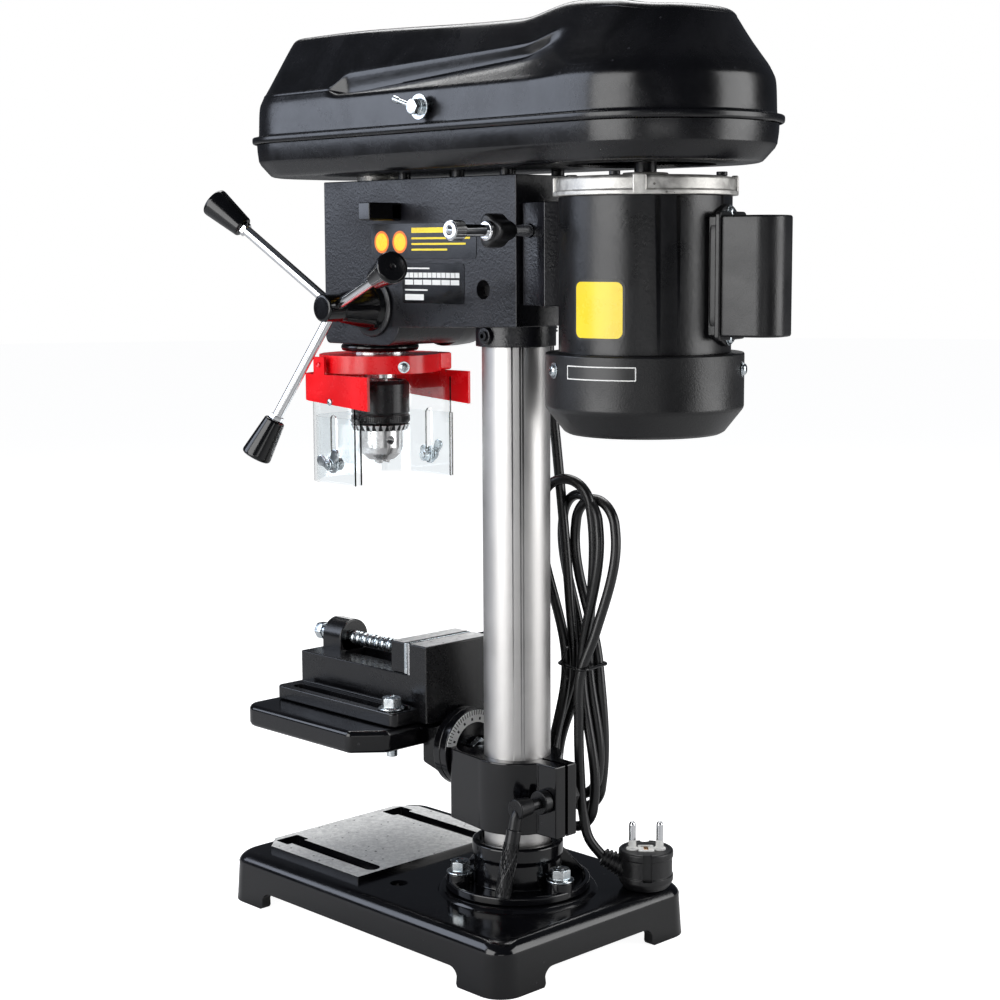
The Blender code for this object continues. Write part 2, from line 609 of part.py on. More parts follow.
def make_lid():
    """Rim, upright wall, sloping shoulder and crowned top, as one thin open skin."""
    floor = RIM_Z + GAP
    rings = [case_outline(0, floor), case_outline(0, floor + 5), case_outline(3.5, floor + 6.5),
             case_outline(5, 576), case_outline(8, 583)]
    crown = []
    for fraction, inset in ((0.5, 20), (0.93, 33), (1.0, 40)):
        ring = [(x, y, 583 + (lid_height(y) - 583) * fraction) for x, y, z in case_outline(inset, 0)]
        crown.append(ring)
    lid = loft("lid", rings + crown, cap_first=False, cap_last=True)
    lid = shell(lid, 1.6)
    height = RIM_Z - 0.4
    for start, end in ((-42, -20.6), (20.6, 42)):
        knuckle = rod("knuckle", (HINGE_X, start, height), (HINGE_X, end, height), 4.0, sides=10)
        leaf = box("leaf", (HINGE_X, start, height + 1.6), (-71.9, end, height + 3.6))
        lid = join(lid, leaf, knuckle)
    pin_hole = rod("pin_hole", (HINGE_X, -60, height), (HINGE_X, 60, height), 2.2, sides=12)
    latch_hole = rod("latch_hole", (50, *LATCH_PLACE), (90, *LATCH_PLACE), 3.4, sides=10)
    return finish(cut(lid, pin_hole, latch_hole), "pulley_lid", "black_enamel", (HINGE_X, 0, height))


def make_hinge_pin():
    height = RIM_Z - 0.4
    pin = rod("pin", (HINGE_X, -44, height), (HINGE_X, 44, height), 1.85, sides=12)
    return finish(pin, "lid_hinge_pin", "zinc", (HINGE_X, 0, height))


def make_latch():
    """Quarter-turn bolt through the lid's right wall."""
    y, z = LATCH_PLACE
    body = rod("latch", (60, y, z), (80, y, z), 3.0, sides=10)
    washer = rod("washer", (69.2, y, z), (70.8, y, z), 7.6, sides=14)
    head = hexagon("head", (70.5, y, z), 9.0, 6.0, (1, 0, 0))
    lever = box("lever", (76, y - 15, z - 1.6), (79, y + 2, z + 1.6), 0.8)
    latch = join(body, washer, head, lever)
    return finish(latch, "lid_latch_bolt", "zinc", (70, y, z))


# --- feed: hub, handles, return spring -------------------------------------------------------
def make_feed():
    hub = turned("hub", [(0, 78), (8.5, 78), (9.5, 77), (9.5, 64), (13, 58), (17, 36.0), (17, 35 + GAP),
                         (8.2, 35 + GAP), (8.2, -52), (0, -52)],
                 (0, PINION_Y, PINION_Z), (1, 0, 0), steps=20)
    centre = Vector((HUB_X, PINION_Y, PINION_Z))
    for i, angle in enumerate(HANDLE_ANGLES, 1):
        turn = math.radians(angle)
        reach = Vector((HANDLE_RAKE, math.cos(turn), math.sin(turn)))
        along = reach.normalized()
        tip = reach.length * 111.0
        knob_start = reach.length * 83.0
        hub = cut(hub, rod("rod_hole", centre + along * 5.0, centre + along * 40, 3.9, sides=10))
        bar = rod("bar", centre + along * 5.4, centre + along * (tip - 8), 3.5, sides=10)
        finish(bar, f"feed_rod_{i}", "chrome", centre)
        knob = rod("knob", centre + along * knob_start, centre + along * tip, 7.4, 10.6, sides=16, edge=1.0)
        knob = cut(knob, rod("seat", centre + along * (knob_start - 5), centre + along * (tip - 7.5), 3.8,
                             sides=10))
        finish(knob, f"feed_knob_{i}", "black_plastic", centre)
    finish(hub, "feed_hub", "black_enamel", (HUB_X, PINION_Y, PINION_Z))


def make_spring_cap():
    cap = turned("cap", [(0, 60), (26, 60), (29, 57), (30, 40), (30, 32 + GAP), (9, 32 + GAP), (9, 56),
                         (0, 56)], (0, PINION_Y, PINION_Z), (-1, 0, 0), steps=24)
    return finish(cap, "return_spring_cap", "black_enamel", (-32, PINION_Y, PINION_Z))


def make_key_clip():
    """Peg on the head's side that the chuck key hangs from."""
    clip = box("clip", (HEAD_HALF_X + GAP, -90, 496), (61, -78, 508), 1.0)
    return finish(clip, "chuck_key_clip", "black_plastic")


# --- chuck -----------------------------------------------------------------------------------
JAW_LEAN = math.radians(15)
JAW_TIP_R = 3.5
JAW_TIP_Z = 323.0


def jaw_axis(index):
    turn = math.radians(120 * index + 30)
    tip = Vector((JAW_TIP_R * math.cos(turn), SPINDLE_Y + JAW_TIP_R * math.sin(turn), JAW_TIP_Z))
    up = Vector((math.sin(JAW_LEAN) * math.cos(turn), math.sin(JAW_LEAN) * math.sin(turn), math.cos(JAW_LEAN)))
    return tip, up


def make_chuck():
    body = turned("body", [(0, 382.6), (13, 382.6), (15.6, 379), (15.6, 333), (14.6, 330), (9.6, 325),
                           (0, 325)], (0, SPINDLE_Y, 0), steps=24)
    taper = turned("taper", [(0, 390), (8.0, 390), (8.0, 384), (6.6, 361), (0, 361)], (0, SPINDLE_Y, 0),
                   steps=20)
    centre_hole = rod("centre_hole", (0, SPINDLE_Y, 310), (0, SPINDLE_Y, 350), 3.0, sides=10)
    body = cut(body, taper, centre_hole)
    for index in range(3):
        tip, up = jaw_axis(index)
        body = cut(body, rod("jaw_bore", tip - up * 8, tip + up * 34, 2.95, sides=10))
        turn = math.radians(120 * index + 75)
        key = Vector((math.cos(turn), math.sin(turn), 0))
        start = Vector((0, SPINDLE_Y, 339))
        body = cut(body, rod("key_hole", start + key * 11, start + key * 25, 3.0, sides=10))
    finish(body, "chuck_body", "ground_steel", (0, SPINDLE_Y, 355))

    sleeve = turned("sleeve", [(19.4, 383), (21, 381), (21, 347.4), (20.2, 346.9), (16, 346.9), (16, 383)],
                    (0, SPINDLE_Y, 0), steps=28)
    teeth = 24
    for i in range(teeth):
        turn = 2 * math.pi * i / teeth
        notch = box("notch", (17.0, -1.0, 345), (23, 1.0, 350.4))
        notch.data.transform(Matrix.Translation((0, SPINDLE_Y * MM, 0)) @ Matrix.Rotation(turn, 4, "Z"))
        sleeve = cut(sleeve, notch)
    finish(sleeve, "chuck_sleeve", "black_oxide", (0, SPINDLE_Y, 355))

    for index in range(3):
        tip, up = jaw_axis(index)
        jaw = rod("jaw", tip, tip + up * 23, 2.6, sides=10)
        finish(jaw, f"chuck_jaw_{index + 1}", "ground_steel", tip)


# --- chuck guard -----------------------------------------------------------------------------
GUARD_PIVOT_Y, GUARD_PIVOT_Z = -150.0, 395.5
SCREEN_REAR = -115.0


def horseshoe(half, front, rear, corner, wall):
    """Plan outline of a U-shaped wall, open towards the rear."""
    outer = [(half, rear)] + arc(half - corner, front + corner, corner, 0, -90, 6) \
        + arc(-half + corner, front + corner, corner, 270, 180, 6) + [(-half, rear)]
    thin, bend = half - wall, corner - wall
    inner = [(-thin, rear)] + arc(-half + corner, front + corner, bend, 180, 270, 6) \
        + arc(half - corner, front + corner, bend, -90, 0, 6) + [(thin, rear)]
    return list(reversed(outer + inner))


def make_guard():
    ring = slab("ring", arc(0, SPINDLE_Y, 44.0, 0, 345, 15), 389.4, 402)
    bore = rod("bore", (0, SPINDLE_Y, 370), (0, SPINDLE_Y, 420), QUILL_R + 0.35, sides=28)
    lug = box("lug", (-46, -139, 389.4), (-26, -113, 402), 1.5)
    ring = cut(join(ring, lug), bore, box("slit", (-60, -127, 380), (-20, -125, 410)),
               rod("pivot", (-60, GUARD_PIVOT_Y, GUARD_PIVOT_Z), (-36, GUARD_PIVOT_Y, GUARD_PIVOT_Z), 2.3,
                   sides=12),
               rod("pivot", (36, GUARD_PIVOT_Y, GUARD_PIVOT_Z), (60, GUARD_PIVOT_Y, GUARD_PIVOT_Z), 2.3,
                   sides=12))
    finish(ring, "guard_ring", "red_plastic", (0, SPINDLE_Y, 395))

    skirt = slab("skirt", horseshoe(49, -192, -97, 30, 2.2), 364, 388.6)
    slope = [(-90, 350), (-90, 364.5), (-196, 371.5), (-196, 350)]
    skirt = cut(skirt, slab("slope", slope, -70, 70, "YZ"))
    for side in (-1, 1):
        inner, outer = sorted((side * 46.9, side * 49))
        tab = box("tab", (inner, GUARD_PIVOT_Y - 6, 386), (outer, GUARD_PIVOT_Y + 6, 401))
        pin = rod("pin", (side * 39, GUARD_PIVOT_Y, GUARD_PIVOT_Z), (side * 50, GUARD_PIVOT_Y, GUARD_PIVOT_Z),
                  2.0, sides=12)
        skirt = join(skirt, tab, pin)
    finish(skirt, "guard_skirt", "red_plastic", (0, GUARD_PIVOT_Y, GUARD_PIVOT_Z))

    screen = slab("screen", horseshoe(46.4, -189, SCREEN_REAR, 28, 1.5), 311, 384)
    sliding = slab("sliding", horseshoe(44.4, -187, SCREEN_REAR + 4, 26, 1.5), 312, 358)
    for side in (-1, 1):
        slot = rounded_outline(-141.4, -134.6, 319, 360, [3.3] * 4, 3)
        screen = cut(screen, slab("slot", slot, *sorted((side * 40, side * 50)), "YZ"))
        hole = rod("hole", (side * 40, -138, 325), (side * 50, -138, 325), 2.7, sides=12)
        sliding = cut(sliding, hole)
    finish(screen, "guard_screen", "clear_plastic", (0, GUARD_PIVOT_Y, GUARD_PIVOT_Z))
    finish(sliding, "guard_sliding_screen", "clear_plastic", (0, -138, 325))

    for i, side in enumerate((1, -1), 1):
        stud = rod("stud", (side * 38, -138, 325), (side * 53, -138, 325), 2.4, sides=12)
        head = hexagon("head", (side * 42.5, -138, 325), 8.5, 4.0, (-side, 0, 0))
        nut = rod("nut", (side * (46.4 + GAP), -138, 325), (side * 52, -138, 325), 5.0, 4.2, sides=10)
        low, high = sorted((side * 49, side * 51))
        wings = slab("wings", [(-150, 331), (-146, 334), (-138, 327.5), (-129, 332), (-127, 327),
                               (-133, 321.5), (-143, 321.5)], low, high, "YZ")
        finish(join(stud, head, nut, wings), f"guard_wing_nut_{i}", "zinc", (side * 46, -138, 325))


# --- switch box and motor --------------------------------------------------------------------
SWITCH_LOW, SWITCH_HIGH = (-62, -72, 440), (-32.35, -2, 508)
BUTTONS = (("start_button", -55.0, "green_plastic"), ("stop_button", -25.0, "red_plastic"))
BUTTON_Z = 478.0


def make_switch():
    case = box("case", SWITCH_LOW, SWITCH_HIGH, 3.0)
    for name, y, finish_name in BUTTONS:
        case = cut(case, rod("well", (-75, y, BUTTON_Z), (-52, y, BUTTON_Z), 10.4, sides=16))
        button = rod("button", (-66, y, BUTTON_Z), (-56, y, BUTTON_Z), 10.0, sides=16)
        finish(button, name, finish_name, (-61, y, BUTTON_Z))
    socket = rod("socket", (-44, -12, 430), (-44, -12, 450), 4.6, sides=14)
    finish(cut(case, socket), "switch_box", "black_plastic")
    gland = turned("gland", [(3.9, 448), (4.2, 439.6), (8, 439.6), (8, 435), (6, 434), (4.7, 418),
                             (3.9, 418)], (-44, -12, 0), steps=20)
    finish(gland, "cord_gland", "black_plastic", (-44, -12, 440))


def make_motor():
    bracket = slab("bracket", [(-28, 34.5), (28, 34.5), (28, 50), (34, 60), (22, 70.5), (-22, 70.5),
                               (-34, 60), (-28, 50)], 440, 506)
    bracket = cut(bracket, rod("seat", (0, MOTOR_Y, 400), (0, MOTOR_Y, 520), 54.6, sides=36),
                  rod("lock_hole", (8, 41, 488), (60, 41, 488), 4.4, sides=10))
    finish(bracket, "motor_bracket", "textured_black")

    body = turned("tube", [(54, 508), (54, 412), (50, 412), (50, 508)], (0, MOTOR_Y, 0), steps=32)
    finish(body, "motor_tube", "textured_black", (0, MOTOR_Y, 460))
    bell = turned("bell", [(9.0, 523), (14, 523), (15, 519.5), (52, 519.5), (56.5, 517.5), (56.5, 511),
                           (57.5, 510.5), (57.5, 508 + GAP), (49.4, 508 + GAP), (49.4, 503), (47, 503),
                           (47, 514), (9.0, 514)],
                  (0, MOTOR_Y, 0), steps=32)
    finish(bell, "motor_bell", "aluminium", (0, MOTOR_Y, 515))
    cover = turned("cover", [(62.4, 412), (62.4, 378), (60.5, 374), (50, 362), (46, 361), (0, 361),
                             (0, 363.5), (45, 363.5), (49, 364.5), (58, 375.5), (60, 379),
                             (60, 409), (50.2, 409), (50.2, 412 - GAP)],
                   (0, MOTOR_Y, 0), steps=32)
    finish(cover, "motor_fan_cover", "black_plastic", (0, MOTOR_Y, 390))
    rotor = turned("rotor", [(0, 600), (7, 600), (7, 501), (40, 499), (40, 425), (8, 423), (8, 400), (42, 398),
                             (42, 392), (0, 390)], (0, MOTOR_Y, 0), steps=24)
    finish(rotor, "motor_rotor", "ground_steel", (0, MOTOR_Y, 460))


def make_capacitor():
    """Housing that stands out from the tube towards the left rear, on an oblong base plate."""
    out = math.radians(112)
    face = rounded_outline(-19, 19, 411.5 + 5, 503, [18.9] * 4, 4)
    plate = slab("plate", face, 50, 56.5, "YZ")
    shape = rounded_outline(54, 104, -18, 18, [12, 2, 2, 12], 4)
    shape = slab("shape", shape, 423, 496)
    shape = bevel(shape, 1.5, 1, 60)
    housing = join(plate, shape)
    housing.data.transform(Matrix.Translation((0, MOTOR_Y * MM, 0)) @ Matrix.Rotation(out, 4, "Z"))
    housing = cut(housing, rod("seat", (0, MOTOR_Y, 380), (0, MOTOR_Y, 520), 54 + GAP, sides=36))
    return finish(housing, "capacitor_box", "black_plastic", (0, MOTOR_Y, 460))


def make_tension_lock():
    """Long cap screw with a lobed nut that locks the motor's slide."""
    stem = rod("stem", (14, 41, 488), (90, 41, 488), 4.0, sides=10)
    head = rod("head", (88, 41, 488), (98, 41, 488), 6.2, sides=14, edge=0.6)
    washer = rod("washer", (68, 41, 488), (70, 41, 488), 8.0, sides=14)
    nut = slab("nut", [(41 + (10.8 + 2.2 * math.cos(3 * a)) * math.cos(a),
                        488 + (10.8 + 2.2 * math.cos(3 * a)) * math.sin(a))
                       for a in [math.radians(15 * i) for i in range(24)]], 46, 67, "YZ")
    return finish(join(stem, head, washer, bevel(nut, 2.0, 1, 60)), "tension_lock_screw", "chrome",
                  (60, 41, 488))


# --- cord ------------------------------------------------------------------------------------
CORD_R = 3.5
LEAD_ROUTE = [(-44, -12, 417.6), (-44, -12, 402), (-43.8, -10, 382), (-43.3, -3.5, 358),
              (-43, 5.6, 335.5), (-43, 13.9, 317.2)]
TAIL_ROUTE = [(-37.8, 31.6, 70.7), (-38, 33.2, 65.6), (-39.4, 35.5, 60.6), (-42.9, 39.35, 57.5)]
HANK_X = (-51.0, -35.0)
HANK_Y = (-0.5, 48.5)
HANK_LOW, HANK_HIGH = 70.0, 319.0
PLUG_CENTRE = (-64.0, 62.0)
PLUG_R = 19.0
SLEEVE_START, SLEEVE_END = (-43.5, 40.0, 57.0), (-56.0, 54.0, 48.0)


def smooth_route(points, spacing):
    """Evenly spaced points along a Catmull-Rom curve through the route's own points."""
    route = [Vector(p) for p in points]
    padded = [route[0] * 2 - route[1]] + route + [route[-1] * 2 - route[-2]]
    fine = []
    for a, b, c, d in zip(padded, padded[1:], padded[2:], padded[3:]):
        for i in range(12):
            t = i / 12
            fine.append(0.5 * ((2 * b) + (c - a) * t + (2 * a - 5 * b + 4 * c - d) * t * t
                               + (3 * b - a - 3 * c + d) * t ** 3))
    fine.append(route[-1])
    kept, walked = [fine[0]], 0.0
    for before, after in zip(fine, fine[1:]):
        walked += (after - before).length
        if walked >= spacing:
            kept.append(after)
            walked = 0.0
    if (kept[-1] - fine[-1]).length < spacing / 2:
        kept.pop()
    return kept + [fine[-1]]


def cord_tube(name, route):
    curve = bpy.data.curves.new(name, "CURVE")
    curve.dimensions = "3D"
    curve.bevel_depth = CORD_R * MM
    curve.bevel_resolution = 2
    curve.use_fill_caps = True
    line = curve.splines.new("POLY")
    points = smooth_route(route, 9.0)
    line.points.add(len(points) - 1)
    for point, place in zip(line.points, points):
        point.co = (*(place * MM), 1.0)
    obj = bpy.data.objects.new(name, curve)
    bpy.data.collections[COLLECTION].objects.link(obj)
    bpy.context.view_layer.update()
    return finish(settle(obj), name, "cord_pvc")


def make_cord():
    cord_tube("cord_lead", LEAD_ROUTE)
    cord_tube("cord_tail", TAIL_ROUTE)
    half = (HANK_Y[1] - HANK_Y[0]) / 2
    outline = rounded_outline(*HANK_Y, HANK_LOW, HANK_HIGH, [half - 0.1] * 4, 6)
    finish(slab("hank", outline, *HANK_X, "YZ"), "cord_hank", "cord_pvc")
    make_plug()


def make_plug():
    """Round plug lying face up beside the socket, with its sleeve and two pins."""
    low = BASE_TOP + GAP
    centre = Vector((*PLUG_CENTRE, 0))
    body = rod("plug", (centre.x, centre.y, low), (centre.x, centre.y, low + 27), PLUG_R, sides=24, edge=1.5)
    plug = join(body, rod("sleeve", SLEEVE_START, SLEEVE_END, 5.2, 7.5, sides=10))
    across = Vector((0.7071, -0.7071, 0)) * 9.5
    for side in (-1, 1):
        foot = centre + across * side
        plug = join(plug, rod("pin", (foot.x, foot.y, low + 20), (foot.x, foot.y, low + 46), 2.4, sides=12))
    finish(plug, "cord_plug", "black_plastic", (centre.x, centre.y, low))


def main():
    for obj in list(bpy.data.objects):
        bpy.data.objects.remove(obj, do_unlink=True)
    parts = bpy.data.collections.new(COLLECTION)
    bpy.context.scene.collection.children.link(parts)
    for make in (make_base, make_socket, make_socket_bolts, make_column, make_bracket, make_clamp_handle,
                 make_table, make_tilt_bolt, make_vise, make_vise_jaw, make_vise_screw, make_vise_bolts,
                 make_head, make_quill, make_spindle, make_pulleys, make_belt, make_pan, make_lid,
                 make_hinge_pin, make_latch, make_feed, make_spring_cap, make_key_clip, make_chuck,
                 make_guard, make_switch, make_motor, make_capacitor, make_tension_lock, make_cord):
        make()


main()
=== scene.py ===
"""Finished look of the bench drill press: fine shapes, mains cord, finishes, light and camera.

Shapes are worked out in millimetres from the column's axis at floor level (+X operator's right,
+Y motor side, +Z up) and are put in the frame's metres when a piece is finished.
"""
import math

import bmesh
import bpy
from mathutils import Matrix, Vector
from mathutils.geometry import convex_hull_2d


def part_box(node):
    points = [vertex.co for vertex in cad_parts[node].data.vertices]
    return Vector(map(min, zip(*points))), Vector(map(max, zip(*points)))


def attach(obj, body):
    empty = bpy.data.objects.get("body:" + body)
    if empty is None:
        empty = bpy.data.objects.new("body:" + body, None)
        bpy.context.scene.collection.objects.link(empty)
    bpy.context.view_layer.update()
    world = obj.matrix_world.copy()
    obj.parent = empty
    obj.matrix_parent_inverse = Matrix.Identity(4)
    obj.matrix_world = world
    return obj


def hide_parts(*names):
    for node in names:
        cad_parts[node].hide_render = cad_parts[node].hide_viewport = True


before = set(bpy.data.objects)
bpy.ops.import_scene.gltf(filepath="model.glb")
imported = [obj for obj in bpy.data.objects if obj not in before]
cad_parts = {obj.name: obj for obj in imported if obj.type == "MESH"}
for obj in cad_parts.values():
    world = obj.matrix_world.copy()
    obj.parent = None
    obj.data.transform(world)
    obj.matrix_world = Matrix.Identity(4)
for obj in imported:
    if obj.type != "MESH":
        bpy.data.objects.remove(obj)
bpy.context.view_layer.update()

MM = 0.001
COLUMN_LOW, COLUMN_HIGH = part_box("column_tube")
AXIS = Vector(((COLUMN_LOW.x + COLUMN_HIGH.x) / 2, (COLUMN_LOW.y + COLUMN_HIGH.y) / 2, 0.0))
TO_FRAME = Matrix.Translation(AXIS) @ Matrix.Diagonal((MM, MM, MM, 1.0))


def span(node):
    """A node's lowest and highest corners, in millimetres from the column's axis."""
    low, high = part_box(node)
    return (low - AXIS) / MM, (high - AXIS) / MM


def centre(node):
    low, high = span(node)
    return (low + high) / 2


SPINDLE_Y = centre("spindle").y
MOTOR_Y = centre("motor_rotor").y
TILT = Vector((0, -49, centre("tilt_bolt").z))
PINION = Vector((66, centre("feed_hub").y, centre("feed_hub").z))


# --- camera, world and floor --------------------------------------------------------------------
CAMERA_PLACE = Vector((903.3, 915.4, 476.7))
CAMERA_TURN, CAMERA_PITCH, CAMERA_ROLL = 135.88, 7.49, 0.27
CAMERA_LENS = 68.84


def make_camera():
    """Camera behind the machine and to its +X side, looking slightly down."""
    turn, pitch = math.radians(CAMERA_TURN), math.radians(CAMERA_PITCH)
    back = Vector((math.sin(turn) * math.cos(pitch), -math.cos(turn) * math.cos(pitch), math.sin(pitch)))
    right = Vector((math.cos(turn), math.sin(turn), 0))
    up = back.cross(right)
    facing = Matrix((right, up, back)).transposed() @ Matrix.Rotation(math.radians(-CAMERA_ROLL), 3, "Z")
    data = bpy.data.cameras.new("camera")
    data.lens = CAMERA_LENS
    camera = bpy.data.objects.new("camera", data)
    camera.matrix_world = Matrix.Translation(TO_FRAME @ CAMERA_PLACE) @ facing.to_4x4()
    bpy.context.scene.collection.objects.link(camera)
    bpy.context.scene.camera = camera


def softbox(name, bearing, height, distance, size, power, colour=(1, 1, 1)):
    """Area light aimed at the middle of the machine; bearing is in degrees from +X."""
    data = bpy.data.lights.new(name, "AREA")
    data.shape = "RECTANGLE"
    data.size, data.size_y = size
    data.energy = power
    data.color = colour
    light = bpy.data.objects.new(name, data)
    angle = math.radians(bearing)
    place = Vector((math.cos(angle) * distance, math.sin(angle) * distance, height))
    aim = Vector((0, 0, 0.33)) - place
    light.matrix_world = Matrix.Translation(place) @ aim.to_track_quat("-Z", "Y").to_matrix().to_4x4()
    bpy.context.scene.collection.objects.link(light)


def plain_rays(tree):
    """1 for rays that come straight, or through clear sheet, from the camera."""
    path = node(tree, "ShaderNodeLightPath")
    return math_node(tree, "MAXIMUM", path.outputs["Is Camera Ray"], path.outputs["Is Transmission Ray"])


def make_studio():
    """Soft lights, and a world that is bright to look at and dim to be lit by."""
    softbox("left softbox", -5, 0.6, 1.5, (1.15, 1.3), 22)
    softbox("right softbox", 121, 0.6, 1.5, (0.95, 1.2), 15)
    softbox("overhead softbox", 225, 1.8, 1.0, (1.5, 1.0), 26)
    softbox("low fill", 46, 0.2, 2.4, (1.2, 0.3), 2.5)
    softbox("front glow", -48, 0.95, 1.6, (0.8, 1.0), 10, (0.78, 0.85, 1.0))
    world = bpy.data.worlds.new("studio")
    bpy.context.scene.world = world
    world.use_nodes = True
    tree = world.node_tree
    seen = tree.nodes["Background"]
    seen.inputs["Color"].default_value = (1, 1, 1, 1)
    seen.inputs["Strength"].default_value = 1.0
    lit = node(tree, "ShaderNodeBackground", {"Color": (0.78, 0.85, 1.0, 1), "Strength": 0.07})
    choice = node(tree, "ShaderNodeMixShader", {0: plain_rays(tree)})
    tree.links.new(lit.outputs[0], choice.inputs[1])
    tree.links.new(seen.outputs[0], choice.inputs[2])
    tree.links.new(choice.outputs[0], tree.nodes["World Output"].inputs["Surface"])
    bpy.context.scene.view_settings.view_transform = "Standard"
    bpy.context.scene.view_settings.look = "None"


def make_floor():
    """Pale floor that looks about as bright as the background."""
    work = bmesh.new()
    bmesh.ops.create_circle(work, cap_ends=True, segments=64, radius=9.0)
    mesh = bpy.data.meshes.new("floor")
    work.to_mesh(mesh)
    work.free()
    floor = bpy.data.objects.new("floor", mesh)
    bpy.context.scene.collection.objects.link(floor)
    pale = bpy.data.materials.new("pale floor")
    pale.use_nodes = True
    tree = pale.node_tree
    shader = tree.nodes["Principled BSDF"]
    shader.inputs["Base Color"].default_value = (0.5, 0.5, 0.5, 1)
    shader.inputs["Roughness"].default_value = 0.8
    shader.inputs["Emission Color"].default_value = (1, 1, 1, 1)
    seen = math_node(tree, "MULTIPLY", plain_rays(tree), 0.86)
    tree.links.new(math_node(tree, "ADD", seen, 0.09), shader.inputs["Emission Strength"])
    mesh.materials.append(pale)


# --- node helpers -------------------------------------------------------------------------------
def node(tree, kind, feeds=None, **settings):
    """A node with its settings, and its inputs set to values or linked to sockets."""
    made = tree.nodes.new(kind)
    for key, value in settings.items():
        setattr(made, key, value)
    for socket, value in (feeds or {}).items():
        if isinstance(value, bpy.types.NodeSocket):
            tree.links.new(value, made.inputs[socket])
        else:
            made.inputs[socket].default_value = value
    return made


def new_group(name, kind, takes, gives):
    """A node group with named inputs and outputs, and its input and output nodes."""
    tree = bpy.data.node_groups.new(name, kind)
    for label, socket_type, value in takes:
        socket = tree.interface.new_socket(label, in_out="INPUT", socket_type=socket_type)
        if value is not None:
            socket.default_value = value
    for label, socket_type in gives:
        tree.interface.new_socket(label, in_out="OUTPUT", socket_type=socket_type)
    return tree, tree.nodes.new("NodeGroupInput"), tree.nodes.new("NodeGroupOutput")


def math_node(tree, operation, first, second=0.0):
    return node(tree, "ShaderNodeMath", {0: first, 1: second}, operation=operation).outputs[0]


# --- shared surface effects ---------------------------------------------------------------------
def skin_group():
    """Fine grain, broad mottle and dust specks, all in object space."""
    tree, given, out = new_group(
        "skin", "ShaderNodeTree",
        [("Grain Scale", "NodeSocketFloat", 900.0), ("Mottle Scale", "NodeSocketFloat", 25.0),
         ("Speck Scale", "NodeSocketFloat", 260.0), ("Speck Amount", "NodeSocketFloat", 0.1),
         ("Stretch", "NodeSocketVector", (1.0, 1.0, 1.0))],
        [("Grain", "NodeSocketFloat"), ("Mottle", "NodeSocketFloat"), ("Specks", "NodeSocketFloat")])
    place = node(tree, "ShaderNodeTexCoord").outputs["Object"]
    drawn = node(tree, "ShaderNodeVectorMath", {0: place, 1: given.outputs["Stretch"]}, operation="MULTIPLY")
    grain = node(tree, "ShaderNodeTexNoise", {"Vector": drawn.outputs[0],
                                              "Scale": given.outputs["Grain Scale"],
                                              "Detail": 3.0, "Roughness": 0.55})
    mottle = node(tree, "ShaderNodeTexNoise", {"Vector": place, "Scale": given.outputs["Mottle Scale"],
                                               "Detail": 5.0, "Roughness": 0.6, "Distortion": 0.6})
    cells = node(tree, "ShaderNodeTexVoronoi", {"Vector": place, "Scale": given.outputs["Speck Scale"]})
    lone = node(tree, "ShaderNodeSeparateColor", {0: cells.outputs["Color"]})
    rare = math_node(tree, "LESS_THAN", lone.outputs[0], given.outputs["Speck Amount"])
    near = math_node(tree, "LESS_THAN", cells.outputs["Distance"], 0.22)
    tree.links.new(grain.outputs[0], out.inputs["Grain"])
    tree.links.new(mottle.outputs[0], out.inputs["Mottle"])
    tree.links.new(math_node(tree, "MULTIPLY", rare, near), out.inputs["Specks"])
    return tree


def wrinkle_group():
    """Leathery wrinkle of textured paint and moulded plastic: ridges between soft cells."""
    tree, given, out = new_group(
        "wrinkle", "ShaderNodeTree",
        [("Cell Scale", "NodeSocketFloat", 500.0), ("Softness", "NodeSocketFloat", 0.6)],
        [("Height", "NodeSocketFloat")])
    place = node(tree, "ShaderNodeTexCoord").outputs["Object"]
    bend = node(tree, "ShaderNodeTexNoise", {"Vector": place, "Scale": 300.0, "Detail": 2.0})
    shift = node(tree, "ShaderNodeVectorMath", {0: bend.outputs["Color"], "Scale": 0.004}, operation="SCALE")
    bent = node(tree, "ShaderNodeVectorMath", {0: place, 1: shift.outputs[0]}, operation="ADD")
    cells = node(tree, "ShaderNodeTexVoronoi", {"Vector": bent.outputs[0],
                                                "Scale": given.outputs["Cell Scale"],
                                                "Smoothness": given.outputs["Softness"]},
                                                feature="SMOOTH_F1")
    fine = node(tree, "ShaderNodeTexNoise", {"Vector": place, "Scale": 1500.0, "Detail": 2.0})
    small = math_node(tree, "MULTIPLY", fine.outputs[0], 0.3)
    tree.links.new(math_node(tree, "ADD", cells.outputs["Distance"], small), out.inputs["Height"])
    return tree


SKIN = skin_group()
WRINKLE = wrinkle_group()


